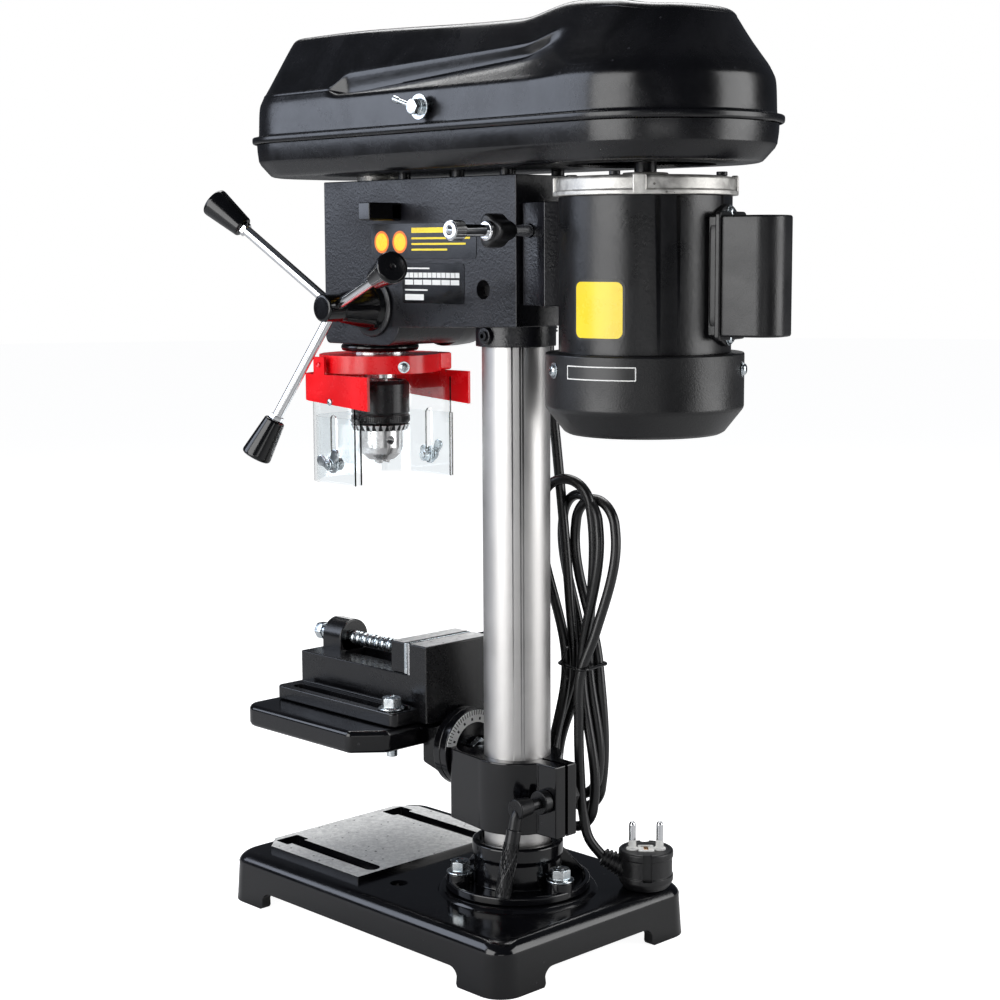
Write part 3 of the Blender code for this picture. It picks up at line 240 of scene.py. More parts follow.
def surface(name, colour, tint, rough, metallic=0.0, grain=900.0, depth=0.02, mottle=25.0, specks=0.0,
            speck_colour=(0.4, 0.4, 0.42), stretch=(1, 1, 1), wrinkle=0.0, wrinkle_scale=500.0, coat=0.0):
    """A finish whose colour, roughness and relief vary with the shared effects. Depths are millimetres."""
    made = bpy.data.materials.new(name)
    made.use_nodes = True
    made.diffuse_color = (*colour, 1.0)
    tree = made.node_tree
    shader = tree.nodes["Principled BSDF"]
    skin = node(tree, "ShaderNodeGroup", {}, node_tree=SKIN)
    for socket, value in (("Grain Scale", grain), ("Mottle Scale", mottle), ("Speck Amount", specks),
                          ("Stretch", stretch)):
        skin.inputs[socket].default_value = value
    blend = node(tree, "ShaderNodeMapRange", {"Value": skin.outputs["Mottle"], "From Min": 0.35,
        "From Max": 0.65})
    mixed = mix_colours(tree, blend.outputs[0], colour, tint)
    dusted = mix_colours(tree, skin.outputs["Specks"], mixed, speck_colour)
    tree.links.new(dusted, shader.inputs["Base Color"])
    worn = math_node(tree, "ADD", math_node(tree, "MULTIPLY", skin.outputs["Grain"], 0.5),
                     math_node(tree, "MULTIPLY", blend.outputs[0], 0.5))
    gloss = node(tree, "ShaderNodeMapRange", {"Value": worn, "From Min": 0.2, "From Max": 0.8,
                                              "To Min": rough[0], "To Max": rough[1]})
    tree.links.new(gloss.outputs[0], shader.inputs["Roughness"])
    shader.inputs["Metallic"].default_value = metallic
    shader.inputs["Coat Weight"].default_value = coat
    shader.inputs["Coat Roughness"].default_value = 0.12
    relief = node(tree, "ShaderNodeBump", {"Height": skin.outputs["Grain"], "Distance": depth * MM,
        "Strength": 1.0})
    if wrinkle:
        folds = node(tree, "ShaderNodeGroup", {}, node_tree=WRINKLE)
        folds.inputs["Cell Scale"].default_value = wrinkle_scale
        raised = node(tree, "ShaderNodeBump", {"Height": folds.outputs["Height"], "Distance": wrinkle * MM,
                                               "Strength": 1.0, "Normal": relief.outputs[0]})
        relief = raised
    tree.links.new(relief.outputs[0], shader.inputs["Normal"])
    return made


def mix_colours(tree, factor, first, second):
    """Mix of two colours or colour sockets; gives the mixed socket."""
    made = tree.nodes.new("ShaderNodeMix")
    made.data_type = "RGBA"
    sockets = [s for s in made.inputs if s.type == "RGBA"]
    tree.links.new(factor, made.inputs["Factor"])
    for socket, value in zip(sockets, (first, second)):
        if isinstance(value, bpy.types.NodeSocket):
            tree.links.new(value, socket)
        else:
            socket.default_value = (*value, 1.0)
    return next(s for s in made.outputs if s.type == "RGBA")


def clear_sheet():
    """Clear polycarbonate with faint handling marks."""
    made = bpy.data.materials.new("clear sheet")
    made.use_nodes = True
    tree = made.node_tree
    shader = tree.nodes["Principled BSDF"]
    skin = node(tree, "ShaderNodeGroup", {}, node_tree=SKIN)
    skin.inputs["Mottle Scale"].default_value = 12.0
    skin.inputs["Speck Amount"].default_value = 0.02
    colour = mix_colours(tree, skin.outputs["Specks"], (0.93, 0.95, 0.96), (0.8, 0.82, 0.84))
    tree.links.new(colour, shader.inputs["Base Color"])
    gloss = node(tree, "ShaderNodeMapRange", {"Value": skin.outputs["Mottle"], "To Min": 0.0,
        "To Max": 0.02})
    tree.links.new(gloss.outputs[0], shader.inputs["Roughness"])
    shader.inputs["Transmission Weight"].default_value = 1.0
    shader.inputs["IOR"].default_value = 1.45
    return made


FINISH = {
    "enamel": surface("gloss black enamel", (0.0015, 0.0015, 0.002), (0.003, 0.003, 0.004), (0.08, 0.2),
                      grain=420, depth=0.014, mottle=14, specks=0.02, speck_colour=(0.02, 0.02, 0.022)),
    "case": surface("pressed case paint", (0.0015, 0.0015, 0.002), (0.0035, 0.0035, 0.005), (0.2, 0.32),
                    grain=340, depth=0.05, mottle=18, specks=0.015, speck_colour=(0.02, 0.02, 0.024)),
    "textured": surface("textured head paint", (0.003, 0.003, 0.0045), (0.006, 0.006, 0.009), (0.25, 0.38),
                        grain=1400, depth=0.012, wrinkle=0.11, wrinkle_scale=560),
    "vise": surface("vise paint", (0.002, 0.002, 0.0025), (0.004, 0.004, 0.005), (0.2, 0.32),
                    grain=700, depth=0.02, wrinkle=0.03, wrinkle_scale=300),
    "motor": surface("motor paint", (0.002, 0.002, 0.0025), (0.004, 0.004, 0.005), (0.26, 0.38),
                     grain=900, depth=0.014, wrinkle=0.05, wrinkle_scale=330),
    "moulded": surface("moulded plastic", (0.003, 0.003, 0.0035), (0.006, 0.006, 0.007), (0.32, 0.45),
                       grain=1800, depth=0.012, wrinkle=0.06, wrinkle_scale=800),
    "knob": surface("polished knob", (0.0015, 0.0015, 0.002), (0.003, 0.003, 0.004), (0.08, 0.18), grain=300,
                    depth=0.006, specks=0.02, speck_colour=(0.06, 0.06, 0.06)),
    "column": surface("ground column", (0.50, 0.49, 0.48), (0.56, 0.55, 0.54), (0.36, 0.5), metallic=1.0,
                      grain=60, depth=0.0025, stretch=(1, 1, 45), mottle=12),
    "machined": surface("machined pad", (0.58, 0.58, 0.57), (0.84, 0.84, 0.82), (0.4, 0.6), metallic=0.15,
                        grain=900, depth=0.03, mottle=320, specks=0.12, speck_colour=(0.09, 0.09, 0.09)),
    "steel": surface("turned steel", (0.52, 0.52, 0.52), (0.66, 0.66, 0.66), (0.16, 0.32), metallic=1.0,
                     grain=120, depth=0.006, stretch=(1, 1, 30), mottle=60),
    "zinc": surface("zinc plate", (0.46, 0.52, 0.56), (0.70, 0.73, 0.74), (0.16, 0.34), metallic=1.0,
                    grain=500, depth=0.008, mottle=160),
    "chrome": surface("chrome plate", (0.72, 0.73, 0.75), (0.82, 0.83, 0.84), (0.05, 0.14), metallic=1.0,
                      grain=300, depth=0.003, mottle=90, specks=0.01, speck_colour=(0.3, 0.28, 0.25)),
    "cast": surface("sand cast aluminium", (0.42, 0.41, 0.39), (0.66, 0.65, 0.62), (0.42, 0.62),
                    metallic=0.85,
                    grain=700, depth=0.10, mottle=130, specks=0.08, speck_colour=(0.2, 0.19, 0.18),
                    wrinkle=0.05, wrinkle_scale=900),
    "oxide": surface("black oxide", (0.006, 0.006, 0.007), (0.014, 0.014, 0.015), (0.24, 0.38), metallic=0.4,
                     grain=900, depth=0.01, mottle=90),
    "red": surface("red guard paint", (0.78, 0.002, 0.006), (0.86, 0.004, 0.010), (0.2, 0.32), grain=500,
                   depth=0.012, mottle=25, specks=0.01, speck_colour=(0.4, 0.05, 0.05)),
    "green": surface("green button", (0.01, 0.24, 0.05), (0.015, 0.32, 0.07), (0.25, 0.35), grain=900,
        depth=0.01), "clear": clear_sheet(),
    "belt": surface("belt rubber", (0.014, 0.014, 0.014), (0.03, 0.03, 0.03), (0.6, 0.8), grain=2200,
        depth=0.03),
    "cord": surface("cord sheath", (0.003, 0.003, 0.0035), (0.006, 0.006, 0.0065), (0.24, 0.36), grain=260,
                    depth=0.02, mottle=45),
    "white": surface("white plastic", (0.74, 0.74, 0.72), (0.82, 0.82, 0.8), (0.35, 0.5), grain=900,
        depth=0.01),
    "copper": surface("copper contact", (0.72, 0.36, 0.16), (0.82, 0.46, 0.22), (0.18, 0.3), metallic=1.0),
    "label": surface("label film", (0.0015, 0.0015, 0.002), (0.003, 0.003, 0.004), (0.12, 0.22), grain=120,
                     depth=0.02, specks=0.05, speck_colour=(0.06, 0.06, 0.07)),
    "yellow": surface("yellow ink", (0.86, 0.62, 0.01), (0.92, 0.7, 0.02), (0.22, 0.34), grain=400,
        depth=0.006),
    "orange": surface("orange ink", (0.86, 0.16, 0.01), (0.9, 0.22, 0.02), (0.22, 0.34), grain=400,
        depth=0.006),
    "ink": surface("black ink", (0.01, 0.01, 0.01), (0.02, 0.02, 0.02), (0.3, 0.4), grain=400, depth=0.006),
}


# --- shapes in millimetres ----------------------------------------------------------------------
def merged(*works):
    """Several shapes as one."""
    whole = bmesh.new()
    for work in works:
        mesh = bpy.data.meshes.new("part")
        work.to_mesh(mesh)
        work.free()
        whole.from_mesh(mesh)
        bpy.data.meshes.remove(mesh)
    return whole


def soften(work, width, segments=3, angle=28.0):
    """Rounds every edge that is sharper than the angle."""
    work.normal_update()
    sharp = [e for e in work.edges if len(e.link_faces) == 2 and e.calc_face_angle(0) > math.radians(angle)]
    bmesh.ops.bevel(work, geom=sharp, offset=width, segments=segments, profile=0.5, affect="EDGES",
                    clamp_overlap=True)
    return work


def cuboid(low, high, edge=0.0, segments=3):
    """A box between two corners, with rounded edges if asked."""
    work = bmesh.new()
    size = [high[i] - low[i] for i in range(3)]
    middle = Vector([(high[i] + low[i]) / 2 for i in range(3)])
    bmesh.ops.create_cube(work, size=1.0, matrix=Matrix.Translation(middle) @ Matrix.Diagonal((*size, 1.0)))
    return soften(work, edge, segments) if edge else work


def prism(outline, low, high, plane="XY", edge=0.0, segments=3):
    """A flat outline given thickness, with rounded rims."""
    def place(u, v, w):
        return {"XY": (u, v, w), "YZ": (w, u, v), "XZ": (u, w, v)}[plane]
    work = bmesh.new()
    bottom = [work.verts.new(place(u, v, low)) for u, v in outline]
    top = [work.verts.new(place(u, v, high)) for u, v in outline]
    work.faces.new(bottom)
    work.faces.new(top)
    count = len(outline)
    for i in range(count):
        j = (i + 1) % count
        work.faces.new((bottom[i], bottom[j], top[j], top[i]))
    bmesh.ops.recalc_face_normals(work, faces=work.faces)
    return soften(work, edge, segments) if edge else work


def arc(x, y, radius, start, end, steps=8):
    """Points on a circular arc between two angles in degrees."""
    turns = [math.radians(start + (end - start) * i / steps) for i in range(steps + 1)]
    return [(x + radius * math.cos(a), y + radius * math.sin(a)) for a in turns]


def rounded(x_low, x_high, y_low, y_high, radius, steps=8):
    """A rectangle with round corners."""
    r = radius
    return (arc(x_high - r, y_high - r, r, 0, 90, steps) + arc(x_low + r, y_high - r, r, 90, 180, steps)
            + arc(x_low + r, y_low + r, r, 180, 270, steps) + arc(x_high - r, y_low + r, r, 270, 360, steps))


def eased(points, radius, steps=4):
    """Rounds each inner corner of an open path."""
    path = [Vector(p) for p in points]
    soft = [path[0]]
    for before, corner, after in zip(path, path[1:], path[2:]):
        back, on = before - corner, after - corner
        reach = min(radius, back.length * 0.45, on.length * 0.45)
        start, end = corner + back.normalized() * reach, corner + on.normalized() * reach
        for i in range(steps + 1):
            t = i / steps
            soft.append(start * (1 - t) ** 2 + corner * 2 * t * (1 - t) + end * t * t)
    return soft + [path[-1]]


def aim_at(direction):
    """Rotation that points +Z along a direction."""
    return Vector(direction).normalized().to_track_quat("Z", "Y").to_matrix().to_4x4()


def lathe(profile, base=(0, 0, 0), axis=(0, 0, 1), steps=96, soft=0.5):
    """Turns a path of (radius, height) pairs; it is closed at the axis or back on its first point."""
    closed = profile[0][0] > 1e-6
    corners = list(profile) + ([profile[0]] if closed else [])
    path = eased(corners, soft) if soft else [Vector(p) for p in profile]
    work = bmesh.new()
    rings = []
    for r, h in path:
        if r < 1e-6:
            rings.append([work.verts.new((0, 0, h))])
            continue
        rings.append([work.verts.new((r * math.cos(a), r * math.sin(a), h))
                      for a in [2 * math.pi * i / steps for i in range(steps)]])
    for lower, upper in zip(rings, rings[1:]):
        for i in range(steps):
            j = (i + 1) % steps
            if len(lower) == 1 and len(upper) == 1:
                continue
            if len(lower) == 1:
                work.faces.new((lower[0], upper[i], upper[j]))
            elif len(upper) == 1:
                work.faces.new((lower[i], lower[j], upper[0]))
            else:
                work.faces.new((lower[i], lower[j], upper[j], upper[i]))
    bmesh.ops.remove_doubles(work, verts=work.verts, dist=1e-5)
    bmesh.ops.recalc_face_normals(work, faces=work.faces)
    bmesh.ops.transform(work, matrix=Matrix.Translation(Vector(base)) @ aim_at(axis), verts=work.verts)
    return work


def rod(start, end, radius, far=None, steps=32, soft=0.4):
    """A round bar or cone between two points, with eased rims."""
    start, end = Vector(start), Vector(end)
    length = (end - start).length
    far = radius if far is None else far
    return lathe([(0, 0), (radius, 0), (far, length), (0, length)], start, end - start, steps, soft)


def tube(points, radius, sides=16, closed=False):
    """A round bar that follows a path of close points."""
    path = [Vector(p) for p in points]
    work = bmesh.new()
    rings = []
    count = len(path)
    side = None
    for i, point in enumerate(path):
        before = path[i - 1] if (i or closed) else path[0]
        after = path[(i + 1) % count] if (i < count - 1 or closed) else path[-1]
        along = (after - before).normalized()
        if side is None:
            side = along.orthogonal().normalized()
        side = (side - along * side.dot(along)).normalized()
        across = along.cross(side)
        rings.append([work.verts.new(point + (side * math.cos(a) + across * math.sin(a)) * radius)
                      for a in [2 * math.pi * k / sides for k in range(sides)]])
    pairs = list(zip(rings, rings[1:])) + ([(rings[-1], rings[0])] if closed else [])
    for lower, upper in pairs:
        for k in range(sides):
            m = (k + 1) % sides
            work.faces.new((lower[k], lower[m], upper[m], upper[k]))
    if not closed:
        work.faces.new(list(reversed(rings[0])))
        work.faces.new(rings[-1])
    bmesh.ops.recalc_face_normals(work, faces=work.faces)
    return work


def curve_through(points, spacing=2.0):
    """Evenly spaced points on a smooth curve through the given ones, however uneven their gaps."""
    route = [Vector(p) for p in points]
    gaps = [max((b - a).length, 1e-6) for a, b in zip(route, route[1:])]
    slopes = [(b - a) / gap for a, b, gap in zip(route, route[1:], gaps)]
    turns = [slopes[0]]
    for before, after, short, far in zip(slopes, slopes[1:], gaps, gaps[1:]):
        turns.append((before * far + after * short) / (short + far))
    turns.append(slopes[-1])
    fine = []
    for a, b, start, end, gap in zip(route, route[1:], turns, turns[1:], gaps):
        steps = max(4, int(gap / 0.5))
        for i in range(steps):
            t = i / steps
            fine.append(a * (2 * t ** 3 - 3 * t ** 2 + 1) + start * gap * (t ** 3 - 2 * t ** 2 + t)
                        + b * (3 * t ** 2 - 2 * t ** 3) + end * gap * (t ** 3 - t ** 2))
    fine.append(route[-1])
    kept, walked = [fine[0]], 0.0
    for before, after in zip(fine, fine[1:]):
        walked += (after - before).length
        if walked >= spacing:
            kept.append(after)
            walked = 0.0
    return kept + [fine[-1]]


def temporary(work, name="temporary"):
    """A scene object that holds a shape while a modifier or a tree uses it."""
    mesh = bpy.data.meshes.new(name)
    work.to_mesh(mesh)
    work.free()
    obj = bpy.data.objects.new(name, mesh)
    bpy.context.scene.collection.objects.link(obj)
    return obj


def carved(work, *cutters, operation="DIFFERENCE"):
    """Exact Boolean of a shape with others."""
    body = temporary(work)
    tools = [temporary(cutter) for cutter in cutters]
    for tool in tools:
        step = body.modifiers.new("carve", "BOOLEAN")
        step.operation = operation
        step.object = tool
        step.solver = "EXACT"
    result = bmesh.new()
    graph = bpy.context.evaluated_depsgraph_get()
    mesh = bpy.data.meshes.new_from_object(body.evaluated_get(graph), depsgraph=graph)
    result.from_mesh(mesh)
    for obj in [body] + tools:
        bpy.data.objects.remove(obj, do_unlink=True)
    bpy.data.meshes.remove(mesh)
    bmesh.ops.remove_doubles(result, verts=result.verts, dist=1e-4)
    return result


def finished(name, mesh, body, nodes, smooth):
    """Puts a mesh in the frame, shades it, parents it to its body and hides the CAD nodes it stands in for.
    """
    mesh.transform(TO_FRAME)
    mesh.shade_smooth()
    mesh.set_sharp_from_angle(angle=math.radians(smooth))
    obj = bpy.data.objects.new(name, mesh)
    bpy.context.scene.collection.objects.link(obj)
    step = obj.modifiers.new("flat faces stay flat", "WEIGHTED_NORMAL")
    step.keep_sharp = True
    graph = bpy.context.evaluated_depsgraph_get()
    shaded = bpy.data.meshes.new_from_object(obj.evaluated_get(graph), depsgraph=graph)
    obj.modifiers.remove(step)
    obj.data = shaded
    bpy.data.meshes.remove(mesh)
    shaded.name = name
    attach(obj, body)
    if nodes:
        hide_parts(*nodes)
    return obj


def add(name, work, finish, body, *nodes, smooth=34.0, faced=None):
    """A finished piece from a shape. faced is (height, finish): up-facing faces there get that finish."""
    bmesh.ops.triangulate(work, faces=[f for f in work.faces if len(f.verts) > 4])
    work.normal_update()
    finishes = [finish]
    if faced:
        height, top_finish = faced
        finishes.append(top_finish)
        for face in work.faces:
            if face.normal.z > 0.99 and abs(face.calc_center_median().z - height) < 0.4:
                face.material_index = 1
    mesh = bpy.data.meshes.new(name)
    for finish in finishes:
        mesh.materials.append(FINISH[finish])
    work.to_mesh(mesh)
    work.free()
    return finished(name, mesh, body, nodes, smooth)


def refined(node_name, finish, body, edge=0.0, smooth=32.0, faced=None, move=None):
    """A CAD node's own shape, merged, with soft shading and eased edges; move may shift its corners."""
    work = bmesh.new()
    work.from_mesh(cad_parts[node_name].data)
    work.transform(TO_FRAME.inverted())
    bmesh.ops.remove_doubles(work, verts=work.verts, dist=0.01)
    bmesh.ops.dissolve_limit(work, angle_limit=math.radians(0.5), verts=work.verts, edges=work.edges)
    for vert in (work.verts if move else ()):
        vert.co = move(vert.co)
    if edge:
        soften(work, edge, 2, 34)
    return add(node_name + "_piece", work, finish, body, node_name, smooth=smooth, faced=faced)


# --- Geometry Nodes: what repeats or winds ------------------------------------------------------
GEOMETRY_OUT = [("Geometry", "NodeSocketGeometry")]


def close_tree(tree, given, out, geometry):
    """Ends a tree: realised copies in the given finish."""
    real = node(tree, "GeometryNodeRealizeInstances", {0: geometry})
    painted = node(tree, "GeometryNodeSetMaterial", {"Geometry": real.outputs[0],
                                                     "Material": given.outputs["Finish"]})
    tree.links.new(painted.outputs[0], out.inputs["Geometry"])
    return tree


def around_axis_tree():
    """Copies of a piece set round the Z axis."""
    tree, given, out = new_group(
        "set around an axis", "GeometryNodeTree",
        [("Piece", "NodeSocketObject", None), ("Count", "NodeSocketInt", 12),
         ("Start", "NodeSocketFloat", 0.0),
         ("Step", "NodeSocketFloat", 0.1), ("Radius", "NodeSocketFloat", 10.0),
         ("Finish", "NodeSocketMaterial", None)], GEOMETRY_OUT)
    source = node(tree, "GeometryNodeObjectInfo", {"Object": given.outputs["Piece"]})
    reach = node(tree, "ShaderNodeCombineXYZ", {0: given.outputs["Radius"]})
    moved = node(tree, "GeometryNodeTransform", {"Geometry": source.outputs["Geometry"],
                                                 "Translation": reach.outputs[0]})
    points = node(tree, "GeometryNodeMeshLine", {"Count": given.outputs["Count"], "Offset": (0, 0, 0)})
    index = node(tree, "GeometryNodeInputIndex")
    turn = math_node(tree, "ADD", given.outputs["Start"],
                     math_node(tree, "MULTIPLY", index.outputs[0], given.outputs["Step"]))
    euler = node(tree, "ShaderNodeCombineXYZ", {2: turn})
    spin = node(tree, "FunctionNodeEulerToRotation", {0: euler.outputs[0]})
    copies = node(tree, "GeometryNodeInstanceOnPoints",
                  {"Points": points.outputs[0], "Instance": moved.outputs[0], "Rotation": spin.outputs[0]})
    return close_tree(tree, given, out, copies.outputs[0])


def along_line_tree():
    """Copies of a piece at even steps along a line."""
    tree, given, out = new_group(
        "set along a line", "GeometryNodeTree",
        [("Piece", "NodeSocketObject", None), ("Count", "NodeSocketInt", 6),
         ("Start", "NodeSocketVector", (0, 0, 0)), ("Step", "NodeSocketVector", (0, 0, 5)),
         ("Finish", "NodeSocketMaterial", None)], GEOMETRY_OUT)
    source = node(tree, "GeometryNodeObjectInfo", {"Object": given.outputs["Piece"]})
    points = node(tree, "GeometryNodeMeshLine", {"Count": given.outputs["Count"],
                                                 "Start Location": given.outputs["Start"],
                                                 "Offset": given.outputs["Step"]})
    copies = node(tree, "GeometryNodeInstanceOnPoints",
                  {"Points": points.outputs[0], "Instance": source.outputs["Geometry"]})
    return close_tree(tree, given, out, copies.outputs[0])


def thread_tree():
    """A ridge that winds along the Z axis: a screw thread, or one line of a knurl."""
    tree, given, out = new_group(
        "wound ridge", "GeometryNodeTree",
        [("Turns", "NodeSocketFloat", 10.0), ("Radius", "NodeSocketFloat", 5.0),
         ("Length", "NodeSocketFloat", 20.0), ("Depth", "NodeSocketFloat", 0.8),
         ("Detail", "NodeSocketInt", 32),
         ("Reverse", "NodeSocketBool", False), ("Finish", "NodeSocketMaterial", None)], GEOMETRY_OUT)
    line = node(tree, "GeometryNodeCurveSpiral",
                {"Resolution": given.outputs["Detail"], "Rotations": given.outputs["Turns"],
                 "Start Radius": given.outputs["Radius"], "End Radius": given.outputs["Radius"],
                 "Height": given.outputs["Length"], "Reverse": given.outputs["Reverse"]})
    ring = node(tree, "GeometryNodeCurvePrimitiveCircle",
        {"Resolution": 4, "Radius": given.outputs["Depth"]})
    ridge = node(tree, "GeometryNodeCurveToMesh", {"Curve": line.outputs[0],
                                                   "Profile Curve": ring.outputs[0], "Fill Caps": True})
    return close_tree(tree, given, out, ridge.outputs[0])


def fastener_tree():
    """A screw head at each point of a mesh, standing along the point's aim."""
    tree, given, out = new_group(
        "fasteners", "GeometryNodeTree",
        [("Geometry", "NodeSocketGeometry", None), ("Piece", "NodeSocketObject", None),
         ("Finish", "NodeSocketMaterial", None)], GEOMETRY_OUT)
    source = node(tree, "GeometryNodeObjectInfo", {"Object": given.outputs["Piece"]})
    aim = node(tree, "GeometryNodeInputNamedAttribute", {"Name": "aim"}, data_type="FLOAT_VECTOR")
    spin = node(tree, "FunctionNodeAlignRotationToVector", {"Vector": aim.outputs[0]}, axis="Z")
    copies = node(tree, "GeometryNodeInstanceOnPoints",
                  {"Points": given.outputs["Geometry"], "Instance": source.outputs["Geometry"],
                   "Rotation": spin.outputs[0]})
    return close_tree(tree, given, out, copies.outputs[0])


AROUND, ALONG, WOUND, FASTENED = around_axis_tree(), along_line_tree(), thread_tree(), fastener_tree()


def grown_mesh(tree, values, base=None):
    """The tree's result with these inputs, as a plain mesh in millimetres."""
    holder = bpy.data.objects.new(tree.name, base or bpy.data.meshes.new(tree.name))
    bpy.context.scene.collection.objects.link(holder)
    step = holder.modifiers.new("grow", "NODES")
    step.node_group = tree
    for item in tree.interface.items_tree:
        if item.item_type == "SOCKET" and item.in_out == "INPUT" and item.name in values:
            step[item.identifier] = values[item.name]
    graph = bpy.context.evaluated_depsgraph_get()
    mesh = bpy.data.meshes.new_from_object(holder.evaluated_get(graph), depsgraph=graph)
    bpy.data.objects.remove(holder, do_unlink=True)
    return mesh


def grown(name, tree, values, finish, body, *nodes, piece=None, place=None, smooth=34.0):
    """A finished piece grown by a tree; place puts it from the tree's own axis to its seat."""
    values = dict(values, Finish=FINISH[finish])
    seed = temporary(piece) if piece is not None else None
    if seed:
        values["Piece"] = seed
    mesh = grown_mesh(tree, values)
    if seed:
        bpy.data.objects.remove(seed, do_unlink=True)
    mesh.transform(place or Matrix.Identity(4))
    return finished(name, mesh, body, nodes, smooth)


def fastened(name, piece, places, finish, body, *nodes):
    """The same fastener at several places, given as (seat, direction) pairs."""
    mesh = bpy.data.meshes.new("seats")
    mesh.from_pydata([seat for seat, aim in places], [], [])
    aims = mesh.attributes.new("aim", "FLOAT_VECTOR", "POINT")
    for item, (seat, aim) in zip(aims.data, places):
        item.vector = aim
    seed = temporary(piece)
    made = grown_mesh(FASTENED, {"Piece": seed, "Finish": FINISH[finish]}, mesh)
    bpy.data.objects.remove(seed, do_unlink=True)
    return finished(name, made, body, nodes, 34.0)


# --- fasteners ----------------------------------------------------------------------------------
def hex_head(across, height):
    """Hexagon with its corners turned off on top."""
    block = prism(arc(0, 0, across / math.sqrt(3), 0, 300, 5), 0, height)
    corner = across / math.sqrt(3)
    turned = lathe([(0, -1), (corner + 1, -1), (corner + 0.6, height - 0.9), (across / 2 - 0.3, height),
                    (0, height)], steps=48, soft=0)
    return soften(carved(block, turned, operation="INTERSECT"), 0.2, 1, 40)


def flange_bolt_head():
    """Hex head on a flange, with a shallow ring on its top."""
    flange = lathe([(0, 0), (9.4, 0), (9.4, 1.1), (7.2, 2.2), (0, 2.4)], steps=72)
    head = hex_head(12.6, 6.6)
    bmesh.ops.translate(head, vec=(0, 0, 1.8), verts=head.verts)
    dimple = lathe([(0, 8.2), (2.6, 8.2), (3.4, 8.7), (3.8, 8.2), (0, 7.6)], steps=32, soft=0.1)
    return merged(flange, head, dimple)


def cross_screw(radius=4.2, height=2.6):
    """Low domed head with a cross recess, on a flat washer."""
    head = lathe([(0, 0.6), (radius, 0.6), (radius, 1.3), (radius * 0.72, height), (0, height + 0.4)],
                 steps=40, soft=0.9)
    slot = radius * 0.62
    first = cuboid((-slot, -0.55, height - 1.3), (slot, 0.55, height + 2))
    second = cuboid((-0.55, -slot, height - 1.3), (0.55, slot, height + 2))
    washer = lathe([(0, 0), (radius + 1.1, 0), (radius + 1.1, 0.7), (0, 0.7)], steps=40, soft=0.2)
    return merged(carved(head, first, second), washer)


# --- stand --------------------------------------------------------------------------------------
BASE_LOW, BASE_HIGH = span("base_casting")
BASE_TOP = 36.0
PAD_TOP = 39.5
FLANGE_SEAT = 38.9
SOCKET_TOP = span("column_socket")[1].z


def base_ring(inset, z, corner):
    """The base's outline, brought in by inset, at a height."""
    flat = rounded(BASE_LOW.x + inset, BASE_HIGH.x - inset,
                   BASE_LOW.y + inset, BASE_HIGH.y - inset, corner, 10)
    return [(x, y, z) for x, y in flat]


def skin_between(rings, first=True, last=True):
    """Closed skin through rings of equal point count."""
    work = bmesh.new()
    rows = [[work.verts.new(p) for p in ring] for ring in rings]
    count = len(rows[0])
    for lower, upper in zip(rows, rows[1:]):
        for i in range(count):
            j = (i + 1) % count
            work.faces.new((lower[i], lower[j], upper[j], upper[i]))
    if first:
        work.faces.new(list(reversed(rows[0])))
    if last:
        work.faces.new(rows[-1])
    bmesh.ops.recalc_face_normals(work, faces=work.faces)
    return work


def arch(start, end, height, flare):
    """Outline of the opening between two feet, with flared ends."""
    left = [(start - flare, -20), (start - flare, -1)] + arc(start - flare, 4, 5, 270, 340, 5)
    top = arc(start + 9, height - 8, 8, 160, 90, 6) + arc(end - 9, height - 8, 8, 90, 20, 6)
    right = arc(end + flare, 4, 5, 200, 270, 5) + [(end + flare, -1), (end + flare, -20)]
    return left + top + right


def make_base():
    """Hollow cast base on four feet, with a machined, slotted pad and a round seat for the socket."""
    edge = 9.0
    rings = [base_ring(0.0, 0, 18), base_ring(0.4, 4, 17.6), base_ring(2.0, BASE_TOP - edge, 16)]
    for i in range(1, 9):
        turn = math.radians(90 * i / 8)
        rings.append(base_ring(2.0 + edge * (1 - math.cos(turn)),
                               BASE_TOP - edge + edge * math.sin(turn), 15))
    casting = skin_between(rings)
    hollow = prism(rounded(-86, 86, -204, 71, 10), -5, BASE_TOP - 7, edge=4)
    side_arch = prism(arch(-172, 39, 12.5, 3), -130, 130, "YZ")
    end_arch = prism(arch(-54, 54, 12.5, 3), -300, 200, "XZ")
    pad_outline = [(-73, -86), (-73, -186), (-58, -200), (58, -200), (73, -186), (73, -86)]
    pad = prism(pad_outline, BASE_TOP - 3, PAD_TOP, edge=0.5, segments=2)
    boss = lathe([(0, BASE_TOP - 4), (58, BASE_TOP - 4), (56, BASE_TOP), (53.6, BASE_TOP + 2.5),
                  (0, BASE_TOP + 2.5)], soft=1.5)
    casting = carved(casting, hollow, side_arch, end_arch)
    casting = carved(casting, pad, boss, operation="UNION")
    cutters = []
    for side in (-1, 1):
        low, high = sorted((side * 46, side * 58))
        slot = [p for p in rounded(low, high, -184, -90, 5.9)]
        wide = sorted((side * 42, side * 62))
        cutters += [prism(slot, 20, 60), prism(rounded(wide[0], wide[1], -194, -180, 1.5, 3), 20, 60),
                    rod((side * 54, -64, 20), (side * 54, -64, 60), 6.2, steps=40, soft=0)]
    casting = carved(casting, *cutters)
    add("base_casting_piece", casting, "enamel", "stand", "base_casting", faced=(PAD_TOP, "machined"),
        smooth=30)


